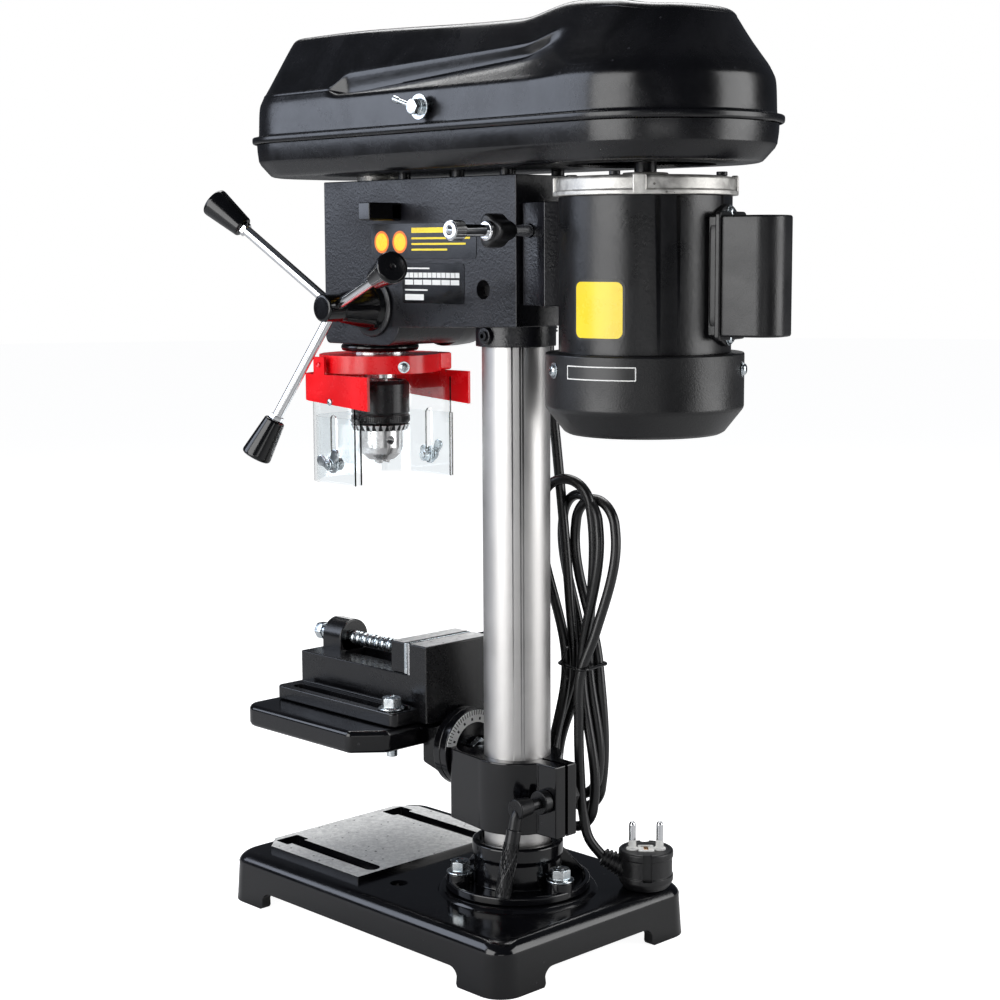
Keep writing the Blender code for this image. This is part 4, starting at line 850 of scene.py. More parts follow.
def make_socket():
    """Flange with a raised rim, three webs and bolt bosses, round the column's socket."""
    seat = FLANGE_SEAT
    plate = lathe([(23.6, seat), (50.3, seat), (50.3, seat + 5.6), (47, seat + 6), (45.6, seat + 3.6),
                   (31, seat + 3.6), (30.2, SOCKET_TOP - 12), (31.6, SOCKET_TOP - 10),
                   (31.6, SOCKET_TOP - 1),
                   (30, SOCKET_TOP), (26.6, SOCKET_TOP), (26.2, SOCKET_TOP - 4), (23.6, SOCKET_TOP - 5)],
                  soft=1.2)
    shapes = [plate]
    for angle in (30, 150, 270):
        web = prism([(28, seat + 1), (48.4, seat + 1), (48.4, seat + 5.4), (33, SOCKET_TOP - 10),
                     (28, SOCKET_TOP - 10)], -2.6, 2.6, "XZ", edge=1.2)
        web.transform(Matrix.Rotation(math.radians(angle), 4, "Z"))
        shapes.append(web)
    seats = []
    for angle in (-30, 90, 210):
        x, y = 41 * math.cos(math.radians(angle)), 41 * math.sin(math.radians(angle))
        shapes.append(rod((x, y, seat + 1), (x, y, 50.2), 9.6, 9.0, 48, 0.8))
        seats.append(((x, y, 50.2), (0, 0, 1)))
    add("column_socket_piece", merged(*shapes), "enamel", "stand", "column_socket")
    fastened("socket_bolts", flange_bolt_head(), seats, "zinc", "stand", "socket_bolt_1", "socket_bolt_2",
             "socket_bolt_3")


def make_column():
    """Ground steel tube."""
    low, high = span("column_tube")
    work = lathe([(high.x, high.z), (high.x, low.z), (20.5, low.z), (20.5, high.z)], steps=160, soft=0.3)
    add("column_tube_piece", work, "column", "stand", "column_tube")


# --- table bracket, table and vise --------------------------------------------------------------
def make_bracket():
    """Split clamp round the column, with the pivot disc and the tilt scale on its rear face."""
    low, high = span("table_bracket")
    top = high.z - 23
    bottom = low.z
    sides = arc(0, 0, 31, -18, 70, 14) + [(10, 47), (-10, 47)] + arc(0, 0, 31, 110, 198, 14)
    outline = sides + [(-25, -41)] + [(-22, -44), (22, -44)] + [(25, -41)]
    clamp = prism(outline, bottom, top, edge=1.2, segments=2)
    disc = lathe([(0, 0), (28, 0), (28, 6), (0, 6)], (TILT.x, -43, TILT.z), (0, -1, 0), soft=0.8)
    cutters = [rod((0, 0, 0), (0, 0, 300), 23.3, steps=96, soft=0),
               cuboid((-1.4, 10, bottom - 20), (1.4, 80, top + 20)),
               cuboid((-15, -41, bottom - 10), (15, -32, top + 60))]
    clamp = carved(merged(clamp), *cutters)
    add("table_bracket_piece", merged(clamp, disc), "enamel", "bracket", "table_bracket", smooth=30)
    band = [(r * math.cos(a), r * math.sin(a)) for r, turns in
            ((27.4, range(12, 169, 6)), (18.6, range(168, 11, -6)))
            for a in [math.radians(t) for t in turns]]
    scale = prism([(x, z + TILT.z) for x, z in band], -43.02, -42.75, "XZ")
    add("tilt_scale", scale, "white", "bracket")
    tick = cuboid((-1.7, -0.3, -0.12), (1.7, 0.3, 0.12))
    place = Matrix.Translation((0, -42.75, TILT.z)) @ Matrix.Rotation(math.radians(90), 4, "X")
    grown("tilt_scale_marks", AROUND, {"Count": 29, "Start": math.radians(18), "Step": math.radians(5.1),
                                       "Radius": 25.6}, "ink", "bracket", piece=tick, place=place)
    number = cuboid((-1.0, -0.8, -0.12), (1.0, 0.8, 0.12))
    grown("tilt_scale_figures", AROUND, {"Count": 8, "Start": math.radians(22), "Step": math.radians(20.4),
                                         "Radius": 21.2}, "ink", "bracket", piece=number, place=place)
    refined("tilt_bolt", "zinc", "table", edge=0.4)


def make_clamp_handle():
    """Cranked clamp lever with a diamond-knurled grip."""
    screw = rod((-16, 37, 107), (34, 37, 107), 4.0)
    nut = hex_head(12.0, 6.0)
    nut.transform(Matrix.Translation((-16.6, 37, 107)) @ aim_at((1, 0, 0)))
    collar = rod((10.4, 37, 107), (17, 37, 107), 8.2, 8.2, 48, 0.8)
    boss = rod((26, 37, 107), (39, 37, 107), 6.0, 7.2, 48, 1.2)
    neck_path = curve_through([(33, 37, 107), (37, 37, 103), (39.4, 36.8, 95), (41, 36.7, 88)], 1.0)
    neck = tube(neck_path, 4.0, 24)
    top, bottom = Vector((39.6, 36.8, 93.5)), Vector((50.5, 36.3, 49))
    grip = rod(top, bottom, 5.1, 5.1, 48, 1.0)
    add("table_clamp_handle_piece", merged(screw, nut, collar, boss, neck, grip), "oxide", "clamp_handle",
        "table_clamp_handle")
    along = (bottom - top).normalized()
    start = top + along * 9
    place = Matrix.Translation(start) @ aim_at(along)
    length = (bottom - start).length - 2.5
    for label, way in (("left", -1), ("right", 1)):
        ridge = tube([(5.2 * math.cos(0.09 * i), way * 5.2 * math.sin(0.09 * i), length * i / 24)
                      for i in range(25)], 0.34, 4)
        grown("grip_knurl_" + label, AROUND, {"Count": 16, "Step": 2 * math.pi / 16, "Radius": 0.0}, "oxide",
              "clamp_handle", piece=ridge, place=place, smooth=60)


TABLE_TOP = 146.0


def make_table():
    """Slotted table with a hollow underside, carried by a neck on the tilt disc."""
    low, high = span("table_top")
    top = TABLE_TOP
    outline = ([(high.x, -84), (61, -66), (-61, -66), (low.x, -84)]
               + arc(low.x + 12, low.y + 12, 12, 180, 270)
               + arc(high.x - 12, low.y + 12, 12, 270, 360))
    plate = prism(outline, 130, top, edge=3.6, segments=4)
    inner = [(x * 0.93, -135 + (y + 135) * 0.93) for x, y in outline]
    cutters = [prism(inner, 100, top - 6),
               rod((0, SPINDLE_Y, 110), (0, SPINDLE_Y, 180), 9, steps=48, soft=0)]
    for side in (-1, 1):
        cutters.append(prism(rounded(side * 45 - 5, side * 45 + 5, -196, -73, 4.9), 100, 180))
    plate = carved(plate, *cutters)
    neck = skin_between([[(-24, -72, 116), (24, -72, 116), (24, -72, 142), (-24, -72, 142)],
                         [(-22, -62, 112), (22, -62, 112), (22, -62, 143), (-22, -62, 143)],
                         [(-20, -55, 108), (20, -55, 108), (20, -55, 146), (-20, -55, 146)]])
    disc = lathe([(0, 0), (28, 0), (28, 6.6), (0, 6.6)], (0, -49.35, TILT.z), (0, -1, 0), soft=0.8)
    web = cuboid((-4, -150, 124), (4, -60, 143), 1.0)
    add("table_top_piece", merged(plate, soften(neck, 2.0), disc, web), "enamel", "table", "table_top",
        smooth=30)


def make_vise():
    """Drill vise: slotted foot, channelled body, screw lug, two jaws with bright plates."""
    low, high = span("vise_body")
    rail, flange = 179.0, 156.5
    floor = low.z
    foot = prism(rounded(-55, 55, low.y, high.y - 8, 5), floor, flange, edge=1.4, segments=3)
    body = cuboid((-31, low.y, floor), (31, high.y, rail), 1.0)
    fixed = cuboid((-31, -77, floor + 4), (31, high.y, high.z), 1.0)
    lug = lathe([(0, 0), (13.5, 0), (13.5, 21), (0, 21)], (0, low.y + 4, 188), (0, 1, 0), soft=1.2)
    lug_foot = cuboid((-13.5, low.y + 4, 170), (13.5, low.y + 25, 188), 0.8)
    ear = cuboid((-41, -76, 184), (-26, -62, high.z - 1), 1.0)
    pocket = cuboid((-10, -173, 160), (10, -77.5, 220))
    cutters = [pocket, cuboid((-20, -190, 120), (20, -66, 154)),
               rod((-36.5, -69, 150), (-36.5, -69, 230), 2.8, steps=24, soft=0)]
    for side in (-1, 1):
        cutters.append(prism(rounded(side * 45 - 4.8, side * 45 + 4.8, -188, -73, 4.7), 120, 166))
    whole = carved(merged(foot), body, fixed, lug, lug_foot, ear, operation="UNION")
    whole = carved(whole, *cutters)
    add("vise_body_piece", whole, "vise", "table", "vise_body", faced=(high.z, "machined"), smooth=30)
    for side in (-1, 1):
        wall = sorted((side * 35.5, side * 37.5))
        rib = cuboid((wall[0], -190, flange - 0.5), (wall[1], -70, flange + 2.4), 0.8)
        add(f"vise_flange_rib_{'left' if side < 0 else 'right'}", rib, "vise", "table")
    plate = cuboid((-30.5, -79.4, rail - 0.5), (30.5, -77.1, high.z - 0.4), 0.4, 2)
    add("fixed_jaw_plate", plate, "steel", "table")
    head = cuboid((-31, -96, rail + 0.35), (31, -82, high.z), 0.8)
    tongue = cuboid((-9.6, -98, 160.5), (9.6, -80, 183), 0.5)
    nose = cuboid((-20, -98, rail + 0.35), (20, -95, high.z - 6), 1.0)
    add("vise_moving_jaw_piece", merged(head, tongue, nose), "vise", "vise_jaw", "vise_moving_jaw",
        faced=(high.z, "machined"), smooth=30)
    plate = cuboid((-31, -82.2, rail + 0.4), (31, -79.6, high.z - 0.2), 0.4, 2)
    add("moving_jaw_plate", plate, "zinc", "vise_jaw")
    make_vise_screw()
    seats = [((side * 45, -80, flange + 0.3), (0, 0, 1)) for side in (1, -1)]
    fastened("vise_bolts", flange_bolt_head(), seats, "zinc", "table", "vise_bolt_1", "vise_bolt_2")
    shank = merged(*[merged(rod((s * 45, -80, 123), (s * 45, -80, 158), 3.9), rod((s * 45, -80, 136),
                     (s * 45, -80, 139.6), 8.4, steps=48)) for s in (1, -1)])
    add("vise_bolt_shanks", shank, "zinc", "table")


def make_vise_screw():
    """Threaded screw with a hex end."""
    low, high = span("vise_screw")
    y_start, z = low.y, 188.0
    core = rod((0, y_start + 2, z), (0, high.y, z), 4.3, steps=40)
    end = hex_head(11.5, 7.0)
    end.transform(Matrix.Translation((0, y_start + 6.5, z)) @ aim_at((0, -1, 0)))
    collar = rod((0, y_start + 7, z), (0, y_start + 15, z), 5.2, steps=48)
    add("vise_screw_piece", merged(core, end, collar), "zinc", "vise_screw", "vise_screw")
    place = Matrix.Translation((0, y_start + 16, z)) @ aim_at((0, 1, 0))
    grown("vise_screw_thread", WOUND, {"Turns": 48.0, "Radius": 4.5, "Length": 96.0, "Depth": 0.75,
          "Detail": 28}, "zinc", "vise_screw", place=place, smooth=50)


# --- head ---------------------------------------------------------------------------------------
def make_head():
    """Head casting with its nose, pinion boss and column collar, and the chuck-key holder."""
    low, high = span("head_casting")
    nose_low, head_low, top = 410.0, 426.0, high.z
    outline = [(33, head_low), (33, top), (-162, top), (-162, nose_low + 4)]
    outline += arc(-158, nose_low + 4, 4, 180, 270, 5) + arc(-98, nose_low + 16, 16, 270, 350, 8)
    body = prism(list(reversed(outline)), low.x, 32, "YZ", edge=1.6, segments=3)
    boss = lathe([(0, 0), (21, 0), (21, 4.5), (18, 5.2), (0, 5.2)], (29.5, PINION.y, PINION.z), (1, 0, 0),
        soft=0.9)
    collar = lathe([(23.4, 412), (27, 412), (27, 430), (23.4, 430)], soft=0.8)
    lug = rod((23, 0, 419.5), (30, 0, 419.5), 6.0, 5.6, 40, 0.8)
    cutters = [rod((22, 2, 450), (60, 2, 450), 6.4, steps=40, soft=0),
               rod((0, SPINDLE_Y, 390), (0, SPINDLE_Y, 500), 21.5, steps=64, soft=0)]
    body = carved(body, *cutters)
    add("head_casting_piece", merged(body, boss, collar, lug), "textured", "stand", "head_casting",
        smooth=30)
    grub = carved(rod((29.4, 0, 419.5), (31.6, 0, 419.5), 3.4, steps=32),
                  prism([(y, z + 419.5) for y, z in arc(0, 0, 1.7, 0, 300, 5)], 30, 33, "YZ"))
    inner = merged(grub, rod((22, 2, 450), (26, 2, 450), 4.6, steps=32))
    add("head_grub_screws", inner, "oxide", "stand")
    clip_low, clip_high = span("chuck_key_clip")
    peg = cuboid(clip_low, (clip_high.x, clip_high.y, clip_high.z), 1.0)
    pad = cuboid((clip_low.x, clip_low.y - 13, clip_low.z + 0.5),
                 (clip_low.x + 9, clip_high.y, clip_high.z - 0.5), 1.0)
    add("chuck_key_clip_piece", merged(peg, pad), "knob", "stand", "chuck_key_clip")


def make_labels():
    """Plain plates with bars and fields in place of printed matter."""
    face = 32.12
    upper = prism(rounded(-110, -4, 470, 494, 3), face - 0.1, face + 0.25, "YZ", edge=0.1, segments=1)
    lower = prism(rounded(-78, -16, 440, 467, 2), face - 0.1, face + 0.25, "YZ", edge=0.1, segments=1)
    add("head_plates", merged(upper, lower), "label", "stand")
    ink = face + 0.25

    def bar(y_low, y_high, z_low, z_high):
        return prism(rounded(y_low, y_high, z_low, z_high, 0.35, 2), ink, ink + 0.08, "YZ")

    discs = [prism(arc(y, 481.5, 7.6, 0, 350, 35), ink, ink + 0.08, "YZ") for y in (-99, -80)]
    add("plate_discs_rim", merged(*discs), "orange", "stand")
    discs = [prism(arc(y, 481.5, 6.0, 0, 350, 35), ink + 0.08, ink + 0.14, "YZ") for y in (-99, -80)]
    add("plate_discs", merged(*discs), "yellow", "stand")
    bars = [bar(-68, -26, 487.5, 491)] + [bar(-68, end, z, z + 1.3) for end, z in
                                          ((-10, 483.2), (-14, 479.4), (-32, 475.6))]
    add("plate_bars", merged(*bars), "yellow", "stand")
    cell = cuboid((-0.04, 0, 0), (0.04, 4.0, 3.4), 0)
    grown("plate_cells_upper", ALONG, {"Count": 12, "Start": (ink, -75, 457.4), "Step": (0, 4.6, 0)},
          "white", "stand", piece=cell)
    cell = cuboid((-0.04, 0, 0), (0.04, 8.4, 3.4), 0)
    grown("plate_cells_lower", ALONG, {"Count": 6, "Start": (ink, -75, 452.6), "Step": (0, 9.2, 0)}, "white",
          "stand", piece=cell)
    add("plate_field", merged(bar(-75, -56, 442.2, 446.2), bar(-75, -50, 463.2, 464.2),
        bar(-75, -52, 448.6, 449.6)), "white", "stand")


def curved_plate(radius, bearing, width, z_low, z_high, thick, corner=2.0):
    """Round-cornered plate wrapped on the motor's wall."""
    work = prism(rounded(-width / 2, width / 2, z_low, z_high, corner, 5), 0, thick, "XZ")
    long_edges = [e for e in work.edges if abs(e.verts[0].co.x - e.verts[1].co.x) > 3]
    bmesh.ops.subdivide_edges(work, edges=long_edges, cuts=11)
    for vert in work.verts:
        angle = math.radians(bearing) + vert.co.x / radius
        reach = radius + vert.co.y
        vert.co = Vector((math.cos(angle) * reach, MOTOR_Y + math.sin(angle) * reach, vert.co.z))
    bmesh.ops.recalc_face_normals(work, faces=work.faces)
    return work


# --- quill, spindle, chuck ----------------------------------------------------------------------
def make_quill():
    """Quill with its flange and dust cuff, and the spindle inside."""
    low, high = span("quill")
    bore = 8.6
    work = lathe([(21, high.z), (21, 409), (27, 409), (27, 404.8), (24.5, 404.0), (21, 404.0), (21, low.z),
                  (bore, low.z), (bore, high.z)], (0, SPINDLE_Y, 0), soft=0.6)
    add("quill_piece", work, "steel", "quill", "quill")
    cuff = lathe([(21.1, 408.9), (27.6, 408.9), (28.2, 406.8), (27.2, 404.4), (21.1, 404.2)],
                 (0, SPINDLE_Y, 0), soft=0.8)
    add("quill_dust_cuff", cuff, "knob", "quill")
    shaft = lathe([(0, 600), (7.4, 600), (8, 599), (8, 388), (11.5, 387.6), (11.5, 384.2), (7.6, 384.2),
                   (6.2, 362), (0, 362)], (0, SPINDLE_Y, 0), steps=64)
    add("spindle_piece", shaft, "steel", "spindle", "spindle")


JAW_LEAN = 15.0
JAW_TIP_RADIUS, JAW_TIP_Z = 3.5, 323.0
KEY_HOLE_Z = 340.0
SLEEVE_RIDGES, SLEEVE_TEETH = 84, 26


def make_chuck():
    """Keyed chuck: knurled sleeve over a toothed ring, body with key holes, three leaning jaws."""
    base = (0, SPINDLE_Y, 0)
    top = span("chuck_sleeve")[1].z
    sleeve = lathe([(16.2, top), (18.6, top), (20.8, top - 2.6), (20.9, 359.6), (20.2, 359.0),
                    (20.2, 358.2), (20.7, 357.8), (20.7, 352.4), (19.6, 351.6), (16.2, 351.6)], base,
                    soft=0.5)
    add("chuck_sleeve_piece", sleeve, "oxide", "chuck_sleeve", "chuck_sleeve")
    ridge = cuboid((-0.35, -0.42, 353.0), (0.35, 0.42, 357.2), 0.2, 1)
    grown("chuck_sleeve_knurl", AROUND, {"Count": SLEEVE_RIDGES, "Step": 2 * math.pi / SLEEVE_RIDGES,
          "Radius": 20.75}, "oxide", "chuck_sleeve", piece=ridge, place=Matrix.Translation(base))
    ring = lathe([(16.1, 351.5), (19.9, 351.5), (20.3, 350.6), (18.6, 346.9), (16.1, 346.9)], base, soft=0.3)
    add("chuck_tooth_ring", ring, "oxide", "chuck_sleeve")
    tooth = skin_between([[(-2.6, -1.5, 351.0), (0.9, -1.7, 351.0), (0.9, 1.7, 351.0), (-2.6, 1.5, 351.0)],
                          [(-2.6, -0.5, 346.7), (-0.9, -0.6, 346.7), (-0.9, 0.6, 346.7),
                              (-2.6, 0.5, 346.7)]])
    grown("chuck_teeth", AROUND, {"Count": SLEEVE_TEETH, "Step": 2 * math.pi / SLEEVE_TEETH, "Radius": 20.0},
          "steel", "chuck_sleeve", piece=soften(tooth, 0.15, 1), place=Matrix.Translation(base))
    body = lathe([(0, 382), (13, 382.4), (15.6, 379), (15.6, 334), (14.4, 329.6), (9.4, 325.2), (3.2, 325),
                  (3.0, 345), (0, 345)], base, soft=0.8)
    cutters = []
    for index in range(3):
        turn = math.radians(120 * index + 75)
        key = Vector((math.cos(turn), math.sin(turn), 0))
        start = Vector((0, SPINDLE_Y, KEY_HOLE_Z))
        cutters.append(rod(start + key * 10, start + key * 25, 3.1, steps=32, soft=0))
    for index in range(3):
        tip, up = jaw_line(index)
        cutters.append(rod(tip - up * 8, tip + up * 20, 3.0, steps=24, soft=0))
    add("chuck_body_piece", carved(body, *cutters), "steel", "spindle", "chuck_body", smooth=30)
    for index in range(3):
        tip, up = jaw_line(index)
        jaw = rod(tip - up * 0.2, tip + up * 23, 2.6, steps=32, soft=0.7)
        name = f"chuck_jaw_{index + 1}"
        add(name + "_piece", jaw, "steel", name, name)


def jaw_line(index):
    """A jaw's tip and the direction in which it rises into its bore."""
    turn, lean = math.radians(120 * index + 30), math.radians(JAW_LEAN)
    up = Vector((math.sin(lean) * math.cos(turn), math.sin(lean) * math.sin(turn), math.cos(lean)))
    reach = JAW_TIP_RADIUS
    tip = Vector((reach * math.cos(turn), SPINDLE_Y + reach * math.sin(turn), JAW_TIP_Z))
    return tip, up


# --- feed ---------------------------------------------------------------------------------------
HANDLE_ANGLES = (15.0, 138.5, 248.5)
HANDLE_RAKE = 0.36


def make_feed():
    """Conical hub with three raked rods and knobs, and the return-spring cap on the far side."""
    hub = lathe([(0, 12), (8.2, 12), (9.6, 11.0), (9.6, -3), (10.4, -6), (15.5, -28), (17.2, -31),
                 (17.2, -33.6), (8.2, -33.6), (8.2, -96), (0, -96)], PINION, (1, 0, 0), soft=0.9)
    add("feed_hub_piece", hub, "knob", "feed", "feed_hub")
    rods, knobs, ends = [], [], []
    for angle in HANDLE_ANGLES:
        turn = math.radians(angle)
        reach = Vector((HANDLE_RAKE, math.cos(turn), math.sin(turn)))
        along = reach.normalized()
        tip, start = reach.length * 111.0, reach.length * 83.0
        bar = lathe([(0, 6), (3.5, 6), (3.5, start - 3), (2.9, start - 2.4), (2.9, tip - 8), (0, tip - 8)],
                    PINION, along, 48, 0.3)
        rods.append(bar)
        length = tip - start
        knob = lathe([(0, 0), (6.6, 0), (7.4, 0.8), (10.5, length - 2.4), (10.2, length - 0.9),
                      (8.8, length),
                      (2.0, length), (1.6, length - 0.6), (0, length - 0.8)], PINION + along * start, along,
                      80, 0.7)
        knobs.append(knob)
        ends.append((PINION + along * (start - 1.6), along))
    names = [f"feed_rod_{i}" for i in (1, 2, 3)]
    add("feed_rods", merged(*rods), "chrome", "feed", *names)
    add("feed_knobs", merged(*knobs), "knob", "feed", *[n.replace("rod", "knob") for n in names])
    nut = hex_head(9.0, 3.2)
    fastened("feed_rod_nuts", nut, [(seat - aim * 1.8, aim) for seat, aim in ends], "chrome", "feed")
    low, high = span("return_spring_cap")
    depth = high.x - low.x
    cap = lathe([(0, depth), (25, depth), (29, depth - 2.6), (30, depth - 16), (30, 0.4), (0, 0.4)],
                (high.x, PINION.y, PINION.z), (-1, 0, 0), soft=1.5)
    add("return_spring_cap_piece", cap, "enamel", "stand", "return_spring_cap")
    lock = hex_head(13, 6)
    fastened("spring_cap_nut", lock, [((low.x, PINION.y, PINION.z), (-1, 0, 0))], "zinc", "stand")


# --- guard --------------------------------------------------------------------------------------
def draw_in(place):
    """Brings the front of the skirt back to just before the screens."""
    if place.y > -162:
        return place
    return Vector((place.x, -162 + (place.y + 162) * 0.55, place.z))


def make_guard():
    """Clamp ring, hinged skirt, the two clear screens and their wing nuts."""
    refined("guard_ring", "red", "quill", edge=0.9)
    refined("guard_skirt", "red", "guard", edge=0.35, move=draw_in)
    make_screen("guard_screen", "guard", 46.4, -176, -115, 24, 311, 384, 360)
    make_screen("guard_sliding_screen", "guard_slide", 44.4, -174, -111, 22, 312, 358, 0)
    screw = cross_screw(3.0, 2.0)
    fastened("guard_ring_screws", screw, [((31.3, -78.4, 395.8), (0.70, 0.71, 0))], "zinc", "quill")
    rivet = lathe([(0, 0), (2.6, 0), (2.3, 1.0), (0, 1.7)], steps=32, soft=0.5)
    fastened("guard_rivets", rivet, [((side * 49, -138, 369.5), (side, 0, 0)) for side in (-1, 1)], "zinc",
        "guard")
    for index, side in ((1, 1), (2, -1)):
        make_wing_nut(index, side)


WING_Y, WING_Z = -138.0, 325.0


def make_screen(name, body, half, front, rear, corner, bottom, top, slot_top):
    """Clear sheet bent round the front of the chuck, with a slot in each side if it slides on one."""
    wall = 1.5

    def bend(inset):
        r = corner - inset
        left = arc(-half + corner, front + corner, r, 180, 270, 40)
        right = arc(half - corner, front + corner, r, 270, 360, 40)
        return [(-half + inset, rear)] + left + right + [(half - inset, rear)]

    sheet = prism(bend(0) + list(reversed(bend(wall))), bottom, top)
    if slot_top:
        window = prism(rounded(WING_Y - 3.2, WING_Y + 3.2, 319, slot_top, 3.1, 6), -80, 80, "YZ")
    else:
        window = rod((-80, WING_Y, WING_Z), (80, WING_Y, WING_Z), 2.8, steps=32, soft=0)
    add(name + "_piece", carved(sheet, window), "clear", body, name, smooth=20)


def make_wing_nut(index, side):
    """Butterfly nut on its stud, with a washer and a hex head inside the screens."""
    y, z = WING_Y, WING_Z
    stud = rod((side * 38, y, z), (side * 54, y, z), 2.3, steps=32)
    head = hex_head(8.4, 3.6)
    head.transform(Matrix.Translation((side * 42.4, y, z)) @ aim_at((-side, 0, 0)))
    washer = rod((side * 46.8, y, z), (side * 47.7, y, z), 6.4, steps=48)
    barrel = rod((side * 47.7, y, z), (side * 52.4, y, z), 4.9, 3.9, 48, 0.6)
    shapes = [stud, head, washer, barrel]
    for way in (-1, 1):
        wing = ([(2.4, -2.6)] + arc(9.0, 4.2, 4.0, -60, 120, 8) + [(2.4, 3.0)])
        lean = 8 * way
        low, high = sorted((side * 49.2, side * 51.0))
        flat = prism([(way * u, v) for u, v in wing][::way], low, high, "YZ", edge=0.6, segments=2)
        turned = Matrix.Translation((0, y, z)) @ Matrix.Rotation(math.radians(18 + lean), 4, "X")
        flat.transform(turned)
        shapes.append(flat)
    add(f"guard_wing_nut_{index}_piece", merged(*shapes), "zinc", f"wing_nut_{index}",
        f"guard_wing_nut_{index}")


# --- pulley case --------------------------------------------------------------------------------
RIM_Z = 551.0
CASE_FRONT, CASE_REAR = -234.0, 202.0
HALF_FRONT, HALF_REAR = 68.4, 76.0
SHOULDER_Z, SLOPE = 583.0, 1.48


def smoothed(value, start, end):
    """0 before start, 1 after end, and an eased step between them."""
    t = min(max((value - start) / (end - start), 0.0), 1.0)
    return t * t * (3 - 2 * t)


def case_walk():
    """Points on the case's outline, each with its inward direction, round from the front middle."""
    front_r, rear_r = 56.0, 74.0
    right = [((x, CASE_FRONT), (0, 1)) for x in (0, 4, 8)]
    for i in range(17):
        a = math.radians(-90 + 88 * i / 16)
        right.append(((HALF_FRONT - front_r + front_r * math.cos(a),
                      CASE_FRONT + front_r + front_r * math.sin(a)), (-math.cos(a), -math.sin(a))))
    y_start, y_end = CASE_FRONT + front_r + 2, CASE_REAR - rear_r - 2
    steps = 60
    for i in range(1, steps):
        t = i / steps
        right.append(((HALF_FRONT + (HALF_REAR - HALF_FRONT) * t, y_start + (y_end - y_start) * t),
            (-1, 0.02)))
    for i in range(21):
        a = math.radians(2 + 88 * i / 20)
        right.append(((HALF_REAR - rear_r + rear_r * math.cos(a), CASE_REAR - rear_r + rear_r * math.sin(a)),
                      (-math.cos(a), -math.sin(a))))
    left = [((-p[0], p[1]), (-n[0], n[1])) for p, n in reversed(right[1:])]
    return right + left


def crown_height(y):
    """Long low crown that falls gently towards the column, then the step up to the motor's dome."""
    low = 626.5 - 6.5 * smoothed(y, -150, 60)
    return low + 6.5 * smoothed(y, 46, 92) - 6.0 * smoothed(y, 92, 180)


def lid_section(y, on_side):
    """(inset, height) pairs from the rim to the crown where the lid is at this depth."""
    top = crown_height(y)
    valley = 580.5 + 13.0 * (y + 116) / 186 + 24.0 * smoothed(y, 62, 118)
    ledge = (595.0 + 7.0 * (y + 108) / 178 - 12.0 * (1 - smoothed(y, -124, -106))
             + 14.0 * smoothed(y, 66, 118))
    deep = smoothed(y, -121, -106) * (1 - smoothed(y, 70, 116)) * on_side
    valley = 584.5 + (min(valley, top - 10) - 584.5) * deep
    ledge = min(max(ledge, valley + 2.5), top - 6)
    push = 9.5 - 2.5 * (y + 116) / 186

    def on_slope(z):
        return 8.0 + (z - SHOULDER_Z) / SLOPE * (37.0 / (top - SHOULDER_Z))

    low_in, high_in = on_slope(valley) + push * deep, on_slope(ledge)
    edge = on_slope(top - 3.0)
    return [(2.0, RIM_Z + 0.4), (0.0, RIM_Z + 0.6), (0.0, RIM_Z + 4.4), (0.5, RIM_Z + 5.3),
            (3.0, RIM_Z + 5.5),
            (4.6, RIM_Z + 5.6), (4.9, RIM_Z + 7.0), (5.0, 560.5), (5.3, 572.0), (5.8, 577.0),
            (6.4 + 0.8 * deep, 579.4),
            (7.6 + 1.6 * deep, 581.6 - 0.6 * deep),
            (on_slope((valley + SHOULDER_Z) / 2) + push * deep * 0.55, (valley + SHOULDER_Z) / 2),
            (low_in - 0.8 * deep, valley - 0.5), (low_in + 0.2 * deep, valley + 0.9),
            (low_in + (high_in - low_in) * 0.6, valley + (ledge - valley) * 0.55),
            (high_in - 0.4, ledge - 0.8), (high_in + 0.7, ledge + 0.6),
            ((high_in + edge) / 2, (ledge + top - 3.0) / 2), (edge - 1.2, top - 4.4),
            (edge + 1.0, top - 1.9), (edge + 4.0, top - 0.6), (edge + 9.0, top), (edge + 15.0, top + 0.1)]


def case_skin(rings, facing):
    """Open skin through the rings that faces up if facing is 1 and down if it is -1."""
    work = skin_between(rings, first=False, last=False)
    bmesh.ops.remove_doubles(work, verts=work.verts, dist=0.01)
    bmesh.ops.dissolve_degenerate(work, dist=0.001, edges=work.edges)
    bmesh.ops.recalc_face_normals(work, faces=work.faces)
    if facing * sum(f.normal.z * f.calc_area() for f in work.faces) < 0:
        bmesh.ops.reverse_faces(work, faces=work.faces)
    return work


def make_lid():
    """Pressed lid with a rolled lip, a recess on each side, a falling crown and the motor's dome."""
    walk = case_walk()
    columns = []
    for (x, y), (nx, ny) in walk:
        on_side = smoothed(abs(nx), 0.9, 1.0)
        columns.append([(x + nx * inset, y + ny * inset, z) for inset, z in lid_section(y, on_side)])
    rings = [[column[k] for column in columns] for k in range(len(columns[0]))]
    middle = [(0, y * 0.85, z + 0.3) for x, y, z in rings[-1]]
    shell = walled(case_skin(rings + [middle], 1), 1.6, 1)
    height = RIM_Z - 0.4
    shapes = [shell]
    hinge_x = centre("lid_hinge_pin").x
    for start, end in ((-42, -20.6), (20.6, 42)):
        shapes += [rod((hinge_x, start, height), (hinge_x, end, height), 3.9, steps=40),
                   cuboid((hinge_x, start, height + 1.8), (-71.6, end, height + 3.4), 0.3, 1)]
    add("pulley_lid_piece", merged(*shapes), "case", "lid", "pulley_lid", smooth=40)


